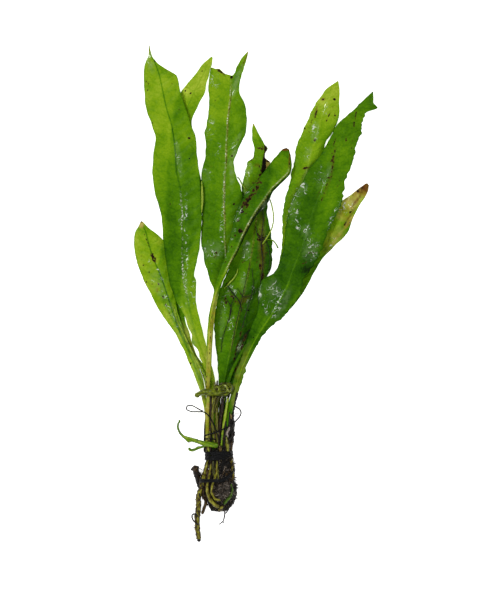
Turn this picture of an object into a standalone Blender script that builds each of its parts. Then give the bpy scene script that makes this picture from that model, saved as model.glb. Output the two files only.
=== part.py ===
# A bunch of java fern, tied with thread and laid down on a flat surface.
# Blender 4.5. Metres, +Z up: +Y runs from the roots to the leaf tips and +X to the right of the bunch.
# The places below are millimetres on a plan sheet 240 wide and 300 high, with Z above the surface.

import math

import bmesh
import bpy
from mathutils import Vector

MM = 0.001
PLAN_CENTRE = (127.7, 153.5)  # the plan point that becomes the origin, under the middle of the bunch
GAP = 0.35  # left between pieces that touch

# How thick a leaf is, in half thicknesses
EDGE_HALF = 0.2
BLADE_HALF = 0.32
RIB_HALF_LOW = 0.85  # the midrib where the blade starts
RIB_HALF_TIP = 0.4
RIB_REACH = 1.3  # how far the midrib's swelling reaches to each side
STEM_SHOULDER = 0.62  # a stem's section: share of its half width, and the heights there and at its side
STEM_SHOULDER_HIGH = 0.82
STEM_SIDE_HIGH = 0.4

# Linear colour and roughness of what the pieces are made of: wet leaf is glossy, root and thread are dull
GREEN_LEAF = ((0.10, 0.25, 0.01), 0.25)
DARK_LEAF = ((0.05, 0.17, 0.01), 0.2)
PALE_LEAF = ((0.25, 0.42, 0.04), 0.3)
YELLOW_LEAF = ((0.36, 0.38, 0.03), 0.35)
GREEN_STALK = ((0.18, 0.30, 0.03), 0.3)
YELLOW_RHIZOME = ((0.22, 0.18, 0.02), 0.45)
BROWN_ROOT = ((0.03, 0.018, 0.008), 0.7)
BLACK_ROOT = ((0.008, 0.007, 0.006), 0.6)
BLACK_THREAD = ((0.008, 0.008, 0.009), 0.8)

# Each leaf is one growth: a round stem, given as x, y, height and radius along its middle, and a blade,
# given as ribs across it from the stem to the tip. A rib is the left edge, the midrib and the right edge,
# each as x, y and height.
LEAVES = {
    "leaf_left_low": {
        "finish": PALE_LEAF,
        "stem": [
            (103.6, 76.0, 4.4, 1.05),
            (103.6, 90.0, 4.4, 1.05),
            (103.0, 96.0, 4.3, 1.05),
            (102.0, 101.0, 4.1, 1.15),
            (101.1, 105.5, 3.9, 1.4),
        ],
        "blade": [
            (98.0, 110.0, 3.6, 99.7, 110.5, 3.8, 101.5, 111.0, 3.6),
            (95.8, 115.5, 3.3, 97.5, 116.2, 3.6, 99.2, 117.0, 3.4),
            (92.0, 124.5, 2.9, 93.8, 125.5, 3.4, 95.2, 126.3, 3.3),
            (87.0, 134.0, 2.4, 89.2, 135.5, 3.3, 91.0, 137.0, 3.2),
            (80.0, 144.0, 1.6, 85.2, 147.5, 3.2, 87.8, 149.0, 3.0),
            (75.5, 152.5, 1.0, 83.0, 154.5, 3.0, 87.0, 156.5, 2.9),
            (71.0, 161.5, 0.5, 80.0, 163.0, 2.8, 85.5, 166.0, 2.7),
            (67.8, 171.0, 0.35, 76.2, 172.0, 2.6, 83.5, 175.0, 2.6),
            (66.8, 178.5, 0.6, 74.2, 178.5, 2.4, 81.8, 179.5, 2.4),
            (67.5, 184.0, 1.0, 73.0, 183.5, 2.0, 78.5, 183.0, 1.6),
            (69.2, 187.0, 1.0, 71.8, 186.5, 1.5, 74.5, 186.0, 1.2),
            (70.2, 189.3, 0.9, 70.6, 189.5, 0.9, 71.3, 189.3, 0.9),
        ],
    },
    "leaf_pale_behind": {
        "finish": YELLOW_LEAF,
        "stem": [
            (104.9, 76.0, 1.6, 0.9),
            (104.7, 90.0, 1.6, 0.9),
            (104.0, 101.0, 1.5, 0.85),
            (103.0, 108.8, 1.2, 0.8),
        ],
        "blade": [
            (100.3, 114.5, 1.0, 101.3, 115.0, 1.1, 102.3, 115.5, 1.0),
            (95.8, 123.5, 1.0, 96.9, 124.0, 1.1, 98.5, 125.0, 1.0),
            (91.0, 131.5, 0.8, 92.8, 132.2, 1.1, 95.5, 134.0, 0.9),
            (86.0, 140.0, 0.7, 88.2, 141.2, 1.1, 92.2, 143.5, 0.8),
            (81.0, 149.0, 0.6, 85.0, 149.5, 1.1, 90.0, 151.5, 0.7),
            (79.0, 165.0, 0.4, 84.5, 165.0, 1.1, 91.5, 165.0, 0.6),
            (82.0, 182.5, 0.4, 89.0, 182.5, 1.1, 98.0, 182.5, 0.5),
            (83.0, 197.5, 0.4, 92.5, 197.5, 1.1, 101.4, 197.5, 0.6),
            (83.5, 205.0, 0.5, 93.0, 205.0, 1.2, 101.3, 205.0, 0.5),
            (84.0, 217.5, 0.6, 92.2, 217.5, 1.2, 98.8, 217.5, 0.4),
            (85.0, 230.0, 0.5, 92.0, 230.0, 1.1, 97.0, 230.0, 0.4),
            (86.0, 239.0, 0.5, 92.2, 239.0, 1.1, 95.8, 238.5, 0.6),
            (87.0, 246.0, 0.6, 93.8, 246.5, 1.2, 98.8, 247.0, 0.9),
            (90.0, 253.5, 1.0, 96.5, 253.0, 1.3, 102.2, 253.5, 1.2),
            (94.0, 258.8, 1.3, 99.2, 258.5, 1.4, 103.5, 259.0, 1.5),
            (98.5, 264.2, 1.5, 101.8, 263.5, 1.5, 104.8, 264.0, 1.6),
            (101.2, 268.0, 1.5, 103.8, 268.0, 1.6, 105.8, 267.5, 1.6),
            (104.8, 271.2, 1.5, 105.6, 271.8, 1.5, 106.4, 271.5, 1.5),
        ],
    },
    "leaf_left_tall": {
        "finish": GREEN_LEAF,
        "stem": [
            (106.8, 76.0, 7.0, 1.05),
            (106.8, 84.0, 7.1, 1.05),
            (106.5, 95.0, 7.0, 1.05),
            (106.1, 101.5, 6.2, 1.05),
        ],
        "blade": [
            (104.1, 108.0, 4.7, 105.9, 108.5, 5.0, 107.6, 109.0, 4.8),
            (101.8, 114.0, 4.2, 104.0, 115.0, 4.5, 106.2, 115.8, 4.2),
            (99.0, 120.0, 3.8, 101.8, 121.0, 4.1, 104.4, 122.0, 4.0),
            (95.0, 129.0, 3.8, 98.8, 130.0, 4.1, 102.2, 131.0, 4.3),
            (92.2, 138.0, 4.2, 96.2, 139.0, 4.4, 100.0, 140.0, 4.9),
            (90.0, 145.5, 4.9, 94.8, 146.0, 4.7, 98.5, 146.5, 5.6),
            (87.0, 152.0, 5.0, 93.5, 152.5, 4.8, 98.0, 152.5, 6.0),
            (84.5, 160.0, 5.0, 91.8, 160.0, 4.9, 98.2, 159.5, 6.3),
            (84.0, 163.0, 5.1, 91.5, 162.5, 4.9, 97.2, 162.2, 6.0),
            (83.0, 170.0, 5.2, 91.2, 170.0, 4.8, 98.8, 170.5, 5.8),
            (82.0, 177.5, 5.3, 91.2, 177.5, 4.7, 100.0, 177.0, 5.2),
            (80.5, 192.5, 5.0, 91.0, 192.5, 4.4, 100.8, 193.0, 4.7),
            (77.2, 205.0, 4.4, 90.2, 205.0, 4.0, 100.4, 205.0, 4.4),
            (76.2, 214.5, 3.7, 88.2, 215.0, 3.8, 99.5, 215.5, 4.2),
            (76.8, 222.5, 3.4, 87.8, 222.5, 3.6, 98.5, 222.5, 3.9),
            (77.8, 230.0, 3.6, 87.0, 230.0, 3.5, 98.2, 229.5, 4.3),
            (75.8, 237.5, 3.3, 85.8, 237.5, 3.4, 95.5, 237.5, 4.2),
            (73.0, 246.0, 2.6, 83.2, 246.0, 3.3, 93.0, 246.0, 3.9),
            (72.2, 253.5, 2.1, 81.5, 254.0, 3.2, 90.2, 254.2, 4.0),
            (72.0, 260.0, 1.9, 80.2, 260.0, 3.1, 89.0, 260.5, 4.3),
            (71.8, 263.0, 2.0, 79.5, 263.0, 3.1, 88.5, 262.0, 4.3),
            (72.0, 266.5, 2.2, 78.5, 266.0, 3.0, 82.5, 265.8, 3.6),
            (73.0, 269.8, 2.3, 77.2, 269.2, 2.9, 78.2, 269.0, 3.0),
            (74.2, 272.5, 2.4, 75.2, 273.0, 2.5, 76.0, 272.2, 2.5),
            (74.3, 277.5, 2.0, 74.5, 277.6, 2.0, 74.7, 277.5, 2.0),
        ],
    },
    "leaf_centre_tall": {
        "finish": GREEN_LEAF,
        "stem": [
            (105.9, 76.0, 4.4, 0.95),
            (105.8, 90.0, 4.3, 0.95),
            (105.1, 100.0, 3.8, 0.9),
            (105.1, 108.5, 2.6, 0.9),
            (104.9, 115.0, 2.3, 0.9),
            (104.9, 121.0, 2.5, 0.9),
            (104.9, 130.0, 3.2, 1.0),
            (105.3, 140.0, 3.5, 1.2),
        ],
        "blade": [
            (105.5, 147.5, 3.6, 106.6, 147.5, 3.6, 107.8, 148.0, 3.6),
            (107.0, 153.5, 3.6, 108.5, 154.0, 3.6, 109.6, 154.5, 3.6),
            (105.0, 160.0, 3.6, 110.0, 160.0, 3.6, 111.2, 160.0, 3.6),
            (103.0, 166.0, 3.8, 112.0, 166.0, 3.6, 113.6, 166.0, 3.6),
            (101.8, 172.5, 4.2, 113.0, 172.5, 3.6, 116.0, 173.0, 3.7),
            (100.5, 180.0, 4.0, 112.5, 180.0, 3.6, 119.5, 181.0, 3.8),
            (100.9, 190.0, 3.2, 112.4, 190.0, 3.6, 121.5, 191.0, 3.9),
            (101.2, 200.0, 2.9, 112.0, 200.0, 3.6, 121.5, 201.0, 4.0),
            (100.9, 207.0, 2.6, 112.2, 206.0, 3.5, 120.5, 206.0, 3.8),
            (100.6, 212.0, 2.4, 112.5, 211.0, 3.4, 118.5, 211.0, 4.5),
            (101.8, 218.0, 2.3, 113.0, 217.5, 3.2, 117.0, 217.0, 5.2),
            (102.8, 225.0, 2.2, 113.2, 225.0, 3.0, 119.0, 225.0, 5.0),
            (102.2, 232.5, 2.1, 113.5, 232.5, 2.8, 122.8, 233.5, 3.6),
            (103.8, 240.0, 2.0, 114.0, 240.0, 2.6, 123.5, 240.0, 2.2),
            (104.5, 247.5, 2.1, 114.8, 247.5, 2.4, 122.5, 247.5, 2.3),
            (104.2, 254.5, 2.3, 115.5, 254.5, 2.3, 119.8, 255.0, 3.6),
            (104.5, 260.0, 2.4, 115.6, 259.2, 2.2, 120.2, 260.0, 3.8),
            (105.5, 266.2, 2.6, 115.5, 261.2, 2.2, 120.8, 261.5, 3.8),
            (115.9, 262.1, 2.2, 116.5, 262.5, 2.1, 121.0, 262.8, 3.6),
            (118.5, 267.0, 2.0, 119.2, 266.8, 2.0, 122.2, 266.5, 3.2),
            (120.8, 271.0, 2.0, 121.5, 270.8, 2.0, 123.5, 271.0, 2.6),
            (124.0, 274.6, 2.1, 124.1, 274.8, 2.1, 124.3, 274.6, 2.2),
        ],
    },
    "leaf_folded_front": {
        "finish": GREEN_LEAF,
        "stem": [
            (104.0, 76.0, 7.0, 1.05),
            (103.8, 85.0, 7.1, 1.05),
            (103.8, 94.0, 7.2, 1.0),
            (104.2, 100.0, 7.3, 0.95),
            (104.0, 107.5, 7.6, 1.0),
            (104.4, 115.0, 7.4, 1.3),
            (104.7, 125.0, 6.9, 1.4),
            (105.2, 135.0, 6.6, 1.5),
        ],
        "blade": [
            (104.8, 144.0, 6.7, 105.9, 144.0, 6.8, 107.8, 144.5, 6.6),
            (106.4, 151.5, 7.0, 107.6, 151.5, 7.0, 109.2, 152.0, 6.6),
            (108.0, 158.5, 7.1, 110.2, 158.5, 7.2, 111.3, 158.8, 6.6),
            (110.0, 165.0, 7.0, 113.8, 166.0, 7.3, 114.7, 166.0, 6.4),
            (113.2, 173.0, 6.9, 118.0, 174.5, 7.4, 119.0, 174.2, 6.2),
            (115.2, 182.0, 6.8, 122.5, 184.5, 7.4, 123.7, 184.0, 6.0),
            (118.0, 193.5, 6.8, 127.8, 193.8, 7.3, 129.2, 193.0, 5.6),
            (121.5, 201.0, 6.8, 132.0, 200.0, 7.0, 134.0, 198.5, 5.0),
            (125.0, 206.0, 6.5, 135.5, 205.0, 6.6, 136.4, 203.8, 5.0),
            (129.5, 211.0, 6.0, 140.8, 210.2, 6.0, 141.6, 209.2, 4.7),
            (133.5, 216.0, 5.5, 144.5, 214.5, 5.4, 145.2, 213.4, 4.4),
            (136.0, 219.5, 5.2, 145.0, 219.0, 5.0, 145.9, 218.0, 4.2),
            (138.5, 222.5, 4.9, 144.6, 222.5, 4.7, 145.2, 221.8, 4.2),
            (141.4, 225.5, 4.5, 143.2, 226.0, 4.4, 144.6, 225.2, 4.2),
        ],
    },
    "leaf_centre_spotted": {
        "finish": DARK_LEAF,
        "stem": [
            (108.3, 76.0, 4.4, 1.0),
            (108.1, 90.0, 4.4, 1.0),
            (108.6, 98.5, 4.2, 1.1),
            (110.3, 104.0, 3.2, 1.3),
        ],
        "blade": [
            (109.2, 110.0, 2.3, 112.2, 110.0, 2.3, 114.5, 110.0, 2.2),
            (108.8, 117.5, 1.9, 113.8, 118.0, 1.7, 117.8, 119.0, 1.6),
            (107.8, 127.0, 1.7, 116.0, 128.0, 1.3, 122.0, 129.0, 1.1),
            (107.0, 137.0, 1.6, 118.5, 138.0, 1.2, 127.0, 139.0, 0.8),
            (108.0, 147.0, 1.5, 120.8, 147.5, 1.1, 130.0, 149.0, 0.6),
            (110.5, 156.5, 1.4, 123.0, 157.5, 1.1, 132.5, 159.0, 0.6),
            (114.5, 166.0, 1.3, 124.9, 167.5, 1.1, 136.0, 168.0, 0.7),
            (117.0, 175.0, 1.2, 126.2, 176.0, 1.1, 136.2, 176.0, 0.8),
            (119.0, 184.0, 1.1, 127.5, 185.0, 1.1, 135.4, 184.5, 1.0),
            (120.0, 193.0, 1.0, 128.5, 193.5, 1.2, 133.6, 193.5, 1.6),
            (120.5, 200.5, 1.0, 129.0, 201.0, 1.3, 134.0, 200.0, 1.3),
            (121.5, 208.0, 0.9, 129.5, 209.0, 1.4, 135.0, 208.5, 1.1),
            (122.5, 214.5, 0.8, 130.0, 215.0, 1.5, 136.0, 215.0, 1.0),
            (124.8, 219.0, 0.9, 130.2, 219.5, 1.5, 135.2, 219.0, 1.1),
            (127.0, 221.5, 1.1, 130.5, 222.0, 1.4, 132.4, 221.3, 1.3),
            (126.9, 225.5, 1.0, 130.2, 226.0, 1.2, 133.2, 226.0, 1.3),
            (126.2, 230.0, 0.8, 128.8, 230.2, 1.1, 131.2, 230.0, 0.9),
            (126.0, 234.5, 0.7, 127.2, 234.5, 0.9, 128.9, 234.2, 0.7),
            (126.4, 238.3, 0.6, 126.6, 238.5, 0.6, 126.9, 238.3, 0.6),
        ],
    },
    "leaf_right_light": {
        "finish": PALE_LEAF,
        "stem": [
            (111.1, 76.0, 4.4, 0.95),
            (110.9, 90.0, 4.4, 0.95),
            (112.2, 100.0, 4.6, 0.9),
            (113.7, 107.5, 4.6, 0.9),
            (116.2, 115.0, 3.9, 0.85),
            (121.2, 124.0, 3.2, 0.9),
        ],
        "blade": [
            (124.5, 132.0, 2.9, 126.0, 132.5, 3.0, 127.7, 133.4, 2.9),
            (127.9, 140.0, 2.8, 130.5, 141.0, 2.9, 133.3, 142.5, 2.8),
            (131.2, 150.0, 2.6, 135.5, 151.0, 2.8, 140.5, 152.5, 2.6),
            (138.0, 161.5, 2.4, 141.0, 162.5, 2.6, 147.0, 164.0, 2.4),
            (140.2, 172.0, 2.0, 145.0, 173.0, 2.3, 151.5, 174.0, 2.0),
            (141.2, 182.0, 1.6, 147.5, 183.0, 2.0, 155.5, 184.0, 1.6),
            (141.2, 192.0, 1.2, 149.5, 193.5, 1.8, 158.5, 194.5, 1.3),
            (142.8, 201.0, 1.0, 151.2, 202.5, 1.7, 160.0, 203.5, 1.2),
            (145.0, 209.5, 0.9, 152.8, 211.0, 1.8, 160.5, 212.5, 1.0),
            (146.7, 218.0, 0.8, 154.8, 220.0, 1.9, 161.5, 221.0, 0.9),
            (148.2, 226.2, 0.9, 157.0, 228.5, 2.1, 163.0, 229.0, 0.9),
            (151.5, 234.5, 1.0, 159.5, 236.5, 2.3, 166.8, 234.5, 1.2),
            (155.5, 244.0, 1.0, 162.0, 244.5, 2.4, 169.8, 243.5, 1.4),
            (159.0, 249.8, 1.1, 164.5, 250.5, 2.2, 169.7, 249.0, 1.4),
            (162.5, 255.0, 1.2, 166.8, 255.2, 1.8, 169.9, 254.5, 1.3),
            (168.7, 259.6, 1.1, 169.0, 259.8, 1.1, 169.3, 259.6, 1.1),
        ],
    },
    "leaf_right_broad": {
        "finish": DARK_LEAF,
        "stem": [
            (113.5, 76.0, 7.0, 1.05),
            (113.7, 85.0, 7.1, 1.05),
            (115.0, 94.0, 7.2, 1.1),
            (116.3, 100.0, 7.2, 1.4),
        ],
        "blade": [
            (115.9, 106.0, 6.8, 117.8, 106.0, 7.0, 119.8, 106.0, 6.8),
            (117.7, 113.5, 6.5, 120.2, 114.0, 6.7, 122.4, 114.5, 6.4),
            (120.7, 121.5, 6.2, 123.8, 122.5, 6.3, 125.8, 123.0, 6.0),
            (123.0, 128.0, 5.9, 127.0, 129.2, 6.0, 128.8, 128.5, 5.6),
            (125.5, 137.0, 6.0, 131.2, 136.0, 5.8, 134.0, 135.4, 5.2),
            (128.5, 144.0, 6.1, 136.2, 143.5, 5.6, 141.5, 141.5, 4.7),
            (129.2, 153.0, 5.9, 140.5, 151.0, 5.5, 146.2, 147.5, 4.4),
            (131.0, 160.0, 5.6, 144.0, 158.0, 5.5, 150.0, 153.0, 4.3),
            (136.8, 163.6, 5.3, 146.2, 164.0, 5.4, 151.6, 160.2, 4.2),
            (139.8, 168.5, 5.1, 148.4, 170.0, 5.3, 156.6, 167.5, 4.2),
            (141.8, 177.0, 4.8, 151.8, 178.5, 5.1, 161.2, 176.0, 4.3),
            (142.8, 186.0, 4.5, 153.8, 186.0, 4.9, 163.8, 184.5, 4.6),
            (144.4, 194.5, 4.4, 157.0, 195.0, 4.7, 168.5, 193.5, 4.6),
            (147.0, 202.0, 4.4, 160.0, 202.5, 4.5, 171.4, 200.0, 4.2),
            (151.0, 208.5, 4.3, 162.8, 209.0, 4.3, 171.7, 206.5, 3.4),
            (155.0, 216.0, 4.1, 165.2, 216.0, 4.0, 174.5, 214.5, 2.9),
            (159.8, 222.0, 4.0, 167.5, 222.5, 3.8, 177.2, 221.0, 2.5),
            (164.0, 229.0, 3.8, 170.0, 229.5, 3.5, 178.5, 228.5, 2.1),
            (165.8, 232.4, 3.8, 171.8, 233.5, 3.3, 180.6, 233.0, 1.9),
            (168.0, 237.0, 3.6, 174.0, 238.0, 3.1, 180.7, 236.5, 2.1),
            (172.0, 241.2, 3.3, 177.0, 242.0, 2.9, 182.0, 240.0, 2.0),
            (177.8, 245.8, 2.9, 180.8, 246.0, 2.6, 183.5, 243.8, 2.4),
            (180.2, 248.5, 2.7, 183.8, 247.8, 2.5, 188.6, 246.2, 3.3),
            (183.0, 251.2, 2.6, 185.0, 250.2, 2.5, 187.0, 249.0, 2.9),
            (186.2, 254.2, 2.9, 186.4, 254.5, 2.9, 186.7, 254.0, 2.9),
        ],
    },
    "leaf_right_yellow": {
        "finish": YELLOW_LEAF,
        "stem": [
            (113.6, 76.0, 4.4, 0.95),
            (113.7, 90.0, 4.3, 0.95),
            (115.6, 100.0, 3.9, 0.9),
            (117.4, 106.0, 3.5, 0.85),
            (121.4, 115.0, 2.6, 0.8),
            (125.9, 124.0, 1.4, 0.8),
        ],
        "blade": [
            (128.9, 132.8, 0.9, 130.0, 132.3, 1.0, 131.1, 131.8, 0.9),
            (133.6, 140.8, 0.8, 135.4, 139.4, 0.9, 137.6, 138.5, 0.7),
            (138.4, 149.6, 0.7, 141.5, 146.5, 0.9, 145.4, 145.8, 0.6),
            (143.0, 158.5, 0.6, 147.0, 154.0, 0.9, 152.2, 154.5, 0.6),
            (148.0, 167.5, 0.5, 152.5, 163.0, 0.9, 157.1, 163.8, 0.6),
            (153.0, 174.0, 0.4, 157.0, 170.0, 0.9, 160.7, 169.8, 0.7),
            (158.0, 182.0, 0.4, 162.5, 177.0, 0.9, 167.5, 177.2, 0.6),
            (163.0, 189.5, 0.5, 168.0, 184.5, 1.0, 173.7, 183.5, 0.5),
            (167.0, 195.5, 0.7, 172.2, 191.5, 1.1, 177.5, 193.0, 0.4),
            (170.5, 199.2, 0.8, 175.5, 196.5, 1.2, 180.5, 198.2, 0.4),
            (174.8, 202.2, 0.9, 178.8, 200.5, 1.2, 182.8, 201.8, 0.5),
            (179.0, 205.5, 0.8, 181.8, 204.2, 1.0, 184.3, 205.2, 0.6),
            (182.8, 208.3, 0.7, 183.8, 208.5, 0.7, 184.6, 207.5, 0.7),
        ],
    },
}

STRAND_STEPS = 2  # straight steps between two of a strand's points

# Round growths: points along the middle as x, y, height and radius
STRANDS = {
    "stalk_bright": {
        "finish": GREEN_STALK,
        "route": [
            (111.0, 76.2, 7.0, 0.75),
            (111.2, 80.0, 7.1, 0.75),
            (111.7, 86.0, 7.3, 0.8),
            (112.4, 91.0, 7.5, 0.8),
            (113.2, 96.0, 7.4, 0.75),
            (114.1, 101.5, 6.9, 0.65),
        ],
    },
    "stalk_slim": {
        "finish": GREEN_STALK,
        "route": [
            (108.6, 86.0, 6.5, 0.35),
            (109.0, 90.0, 6.6, 0.5),
            (109.9, 94.0, 6.7, 0.55),
            (111.0, 97.6, 6.8, 0.5),
            (112.3, 101.2, 6.7, 0.4),
        ],
    },
    "stalk_dead": {
        "finish": BLACK_ROOT,
        "route": [
            (115.9, 78.8, 5.6, 0.6),
            (116.0, 83.0, 5.7, 1.0),
            (116.0, 88.0, 5.6, 1.0),
            (116.2, 94.0, 5.5, 0.8),
            (117.5, 99.0, 5.4, 0.5),
            (119.0, 103.6, 5.2, 0.4),
        ],
    },
    "side_shoot": {
        "finish": GREEN_STALK,
        "route": [
            (97.3, 102.2, 7.6, 0.45),
            (98.2, 102.5, 7.9, 0.8),
            (100.2, 103.6, 8.8, 0.85),
            (102.6, 104.2, 9.7, 1.15),
            (105.6, 104.1, 9.9, 1.25),
            (108.0, 103.7, 9.7, 1.1),
        ],
    },
    "sprout_long": {
        "finish": GREEN_STALK,
        "route": [
            (109.2, 77.4, 9.2, 0.9),
            (106.0, 78.0, 9.6, 1.1),
            (102.2, 78.6, 9.4, 1.0),
            (98.5, 79.7, 7.6, 0.85),
            (95.0, 80.6, 5.4, 0.85),
            (92.0, 81.6, 3.6, 0.65),
            (90.0, 83.5, 2.2, 0.5),
            (88.9, 86.2, 1.2, 0.45),
            (89.1, 88.2, 0.7, 0.4),
            (89.7, 89.3, 0.6, 0.4),
            (89.3, 90.0, 0.6, 0.35),
        ],
    },
    "sprout_short": {
        "finish": GREEN_STALK,
        "route": [
            (101.3, 76.9, 8.2, 0.4),
            (99.2, 76.3, 7.1, 0.5),
            (97.2, 75.3, 5.6, 0.5),
            (95.6, 75.0, 4.4, 0.5),
            (94.7, 75.6, 3.6, 0.5),
            (94.6, 76.3, 3.2, 0.4),
        ],
    },
    "runner_arched": {
        "finish": GREEN_STALK,
        "route": [
            (135.0, 200.4, 2.6, 0.3),
            (136.2, 196.0, 2.5, 0.35),
            (136.8, 191.0, 2.3, 0.35),
            (136.0, 186.0, 2.4, 0.35),
            (133.4, 181.2, 2.4, 0.35),
            (131.2, 177.8, 2.3, 0.3),
        ],
    },
    "runner_hooked": {
        "finish": GREEN_STALK,
        "route": [
            (132.8, 180.0, 1.7, 0.3),
            (134.6, 180.2, 1.8, 0.3),
            (136.4, 179.8, 1.9, 0.35),
            (138.0, 178.0, 1.7, 0.35),
            (139.1, 175.8, 1.2, 0.45),
        ],
    },
    "runner_small": {
        "finish": GREEN_STALK,
        "route": [
            (118.6, 211.6, 2.4, 0.28),
            (119.6, 210.6, 2.4, 0.3),
            (121.0, 208.0, 2.1, 0.3),
            (123.0, 205.4, 2.2, 0.3),
            (124.8, 203.8, 2.3, 0.25),
        ],
    },
    "rootlet_green": {
        "finish": GREEN_STALK,
        "route": [
            (112.0, 155.6, 2.1, 0.25),
            (114.2, 158.0, 2.1, 0.4),
            (116.6, 160.6, 2.1, 0.4),
            (118.2, 163.0, 2.1, 0.35),
            (119.0, 165.6, 2.1, 0.25),
        ],
    },
    "rhizome_long": {
        "finish": YELLOW_RHIZOME,
        "route": [
            (103.8, 74.4, 4.9, 0.78),
            (103.8, 70.0, 4.9, 0.8),
            (103.0, 66.0, 4.9, 0.95),
            (101.8, 61.5, 4.9, 0.95),
            (101.0, 57.5, 4.3, 1.05),
            (99.3, 52.0, 3.0, 1.15),
            (99.2, 46.0, 2.2, 1.25),
            (98.6, 41.0, 1.6, 1.25),
            (98.7, 36.0, 1.3, 1.2),
            (99.1, 32.5, 1.25, 1.15),
            (99.5, 29.9, 1.25, 1.15),
        ],
    },
    "rhizome_stub": {
        "finish": BROWN_ROOT,
        "route": [
            (97.0, 67.4, 4.6, 0.5),
            (97.2, 66.9, 4.5, 1.25),
            (97.9, 64.6, 3.9, 1.3),
            (98.6, 61.4, 3.0, 1.05),
            (99.1, 58.2, 1.4, 0.75),
            (99.4, 55.8, 0.9, 0.45),
        ],
    },
    "root_tan": {
        "finish": BROWN_ROOT,
        "route": [
            (102.7, 51.8, 2.6, 0.45),
            (102.9, 49.4, 2.2, 0.5),
            (102.4, 46.6, 1.6, 0.5),
            (101.6, 44.4, 1.0, 0.5),
            (101.0, 42.6, 0.7, 0.35),
        ],
    },
    "root_loop": {
        "finish": BLACK_ROOT,
        "route": [
            (99.2, 41.6, 3.3, 0.2),
            (97.6, 43.0, 3.4, 0.25),
            (96.4, 42.8, 2.6, 0.25),
            (96.0, 41.4, 2.0, 0.25),
            (96.6, 39.8, 2.6, 0.25),
            (97.9, 38.6, 3.3, 0.25),
            (99.3, 37.4, 3.1, 0.2),
        ],
    },
    "root_fine_bottom": {
        "finish": BLACK_ROOT,
        "route": [
            (112.2, 44.9, 0.5, 0.2),
            (112.4, 43.2, 0.45, 0.25),
            (112.0, 40.6, 0.4, 0.25),
            (111.5, 39.2, 0.35, 0.25),
            (110.4, 38.2, 0.3, 0.2),
            (109.2, 37.4, 0.3, 0.15),
        ],
    },
    "root_fine_fork": {
        "finish": BLACK_ROOT,
        "route": [
            (114.6, 46.4, 1.0, 0.2),
            (114.2, 45.0, 0.8, 0.22),
            (113.5, 44.0, 0.6, 0.22),
            (112.95, 43.0, 0.5, 0.2),
        ],
    },
}

# The black sewing thread, over the bundle's top and out in two small loops
THREAD_RADIUS = 0.25
THREADS = {
    "thread_left_loop": [
        (110.4, 78.9, 8.6),
        (109.4, 81.6, 8.5),
        (108.1, 85.0, 8.55),
        (106.6, 88.6, 8.75),
        (105.4, 91.0, 8.8),
        (104.0, 92.8, 8.75),
        (102.2, 94.1, 7.8),
        (99.0, 94.3, 6.6),
        (95.2, 94.5, 5.6),
        (93.3, 95.6, 5.2),
        (93.6, 97.0, 5.2),
        (95.4, 97.4, 5.5),
        (98.2, 96.3, 6.0),
        (100.6, 95.0, 6.5),
        (101.5, 94.7, 6.6),
    ],
    "thread_right_loop": [
        (117.6, 96.9, 6.8),
        (118.7, 96.3, 6.5),
        (119.9, 95.4, 6.1),
        (120.5, 93.8, 5.8),
        (119.8, 91.8, 5.9),
        (118.4, 90.2, 6.3),
        (116.8, 88.6, 7.0),
        (114.8, 87.2, 8.5),
        (112.2, 86.0, 8.75),
        (109.6, 84.9, 9.3),
        (106.8, 83.8, 9.1),
        (104.4, 83.1, 8.6),
        (102.5, 82.5, 7.9),
    ],
    "thread_lower_stray": [
        (102.8, 80.9, 8.0),
        (104.4, 80.9, 8.45),
        (106.8, 80.8, 8.55),
        (109.0, 80.2, 7.7),
        (111.3, 80.2, 8.25),
    ],
}

# Sections of the matted roots from the petioles down: y, middle x, half width, middle height, half height
ROOT_SECTIONS = [
    (75.5, 110.3, 4.9, 4.9, 3.8),
    (74.4, 110.4, 5.3, 4.9, 3.9),
    (70.2, 110.4, 5.3, 4.9, 3.9),
    (68.4, 110.7, 5.8, 4.5, 4.2),
    (65.6, 110.8, 5.7, 4.7, 3.7),
    (62.6, 110.4, 6.1, 4.7, 3.6),
    (59.6, 110.4, 6.2, 4.7, 3.7),
    (57.6, 110.8, 6.8, 3.9, 4.6),
    (53.4, 110.9, 7.0, 3.8, 4.8),
    (49.6, 110.4, 6.2, 3.6, 4.4),
    (47.0, 110.0, 5.0, 3.4, 3.6),
    (44.4, 109.6, 2.4, 2.6, 2.2),
]
ROOT_SIDES = 18
ROOT_SWELL = 0.04  # how much the mat swells and dips round its section
ROOT_SWELLINGS = 3  # round one section
ROOT_TWIST = 1.7  # how far they turn from one section to the next, in radians

# Rhizomes that lie bent on the mat: x, y and radius. Their height follows the mat's top.
BENT_RHIZOMES = {
    "rhizome_bent_outer": {
        "finish": YELLOW_RHIZOME,
        "line": [
            (105.6, 68.6, 0.45),
            (105.0, 64.0, 0.6),
            (103.9, 59.5, 0.7),
            (103.7, 55.2, 0.8),
            (104.8, 51.4, 0.9),
            (106.8, 48.6, 1.0),
            (109.6, 46.8, 1.0),
        ],
    },
    "rhizome_bent_inner": {
        "finish": YELLOW_RHIZOME,
        "line": [
            (108.4, 69.2, 0.45),
            (108.3, 64.0, 0.6),
            (106.9, 60.0, 0.6),
            (106.0, 56.4, 0.65),
            (106.4, 53.0, 0.7),
            (108.0, 51.0, 0.7),
            (110.4, 50.2, 0.5),
        ],
    },
    "rhizome_green_tip": {
        "finish": GREEN_STALK,
        "line": [
            (115.4, 58.4, 0.4),
            (116.2, 55.4, 0.55),
            (115.4, 52.4, 0.7),
            (113.2, 50.2, 0.85),
            (112.0, 48.2, 0.7),
        ],
    },
}

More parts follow.
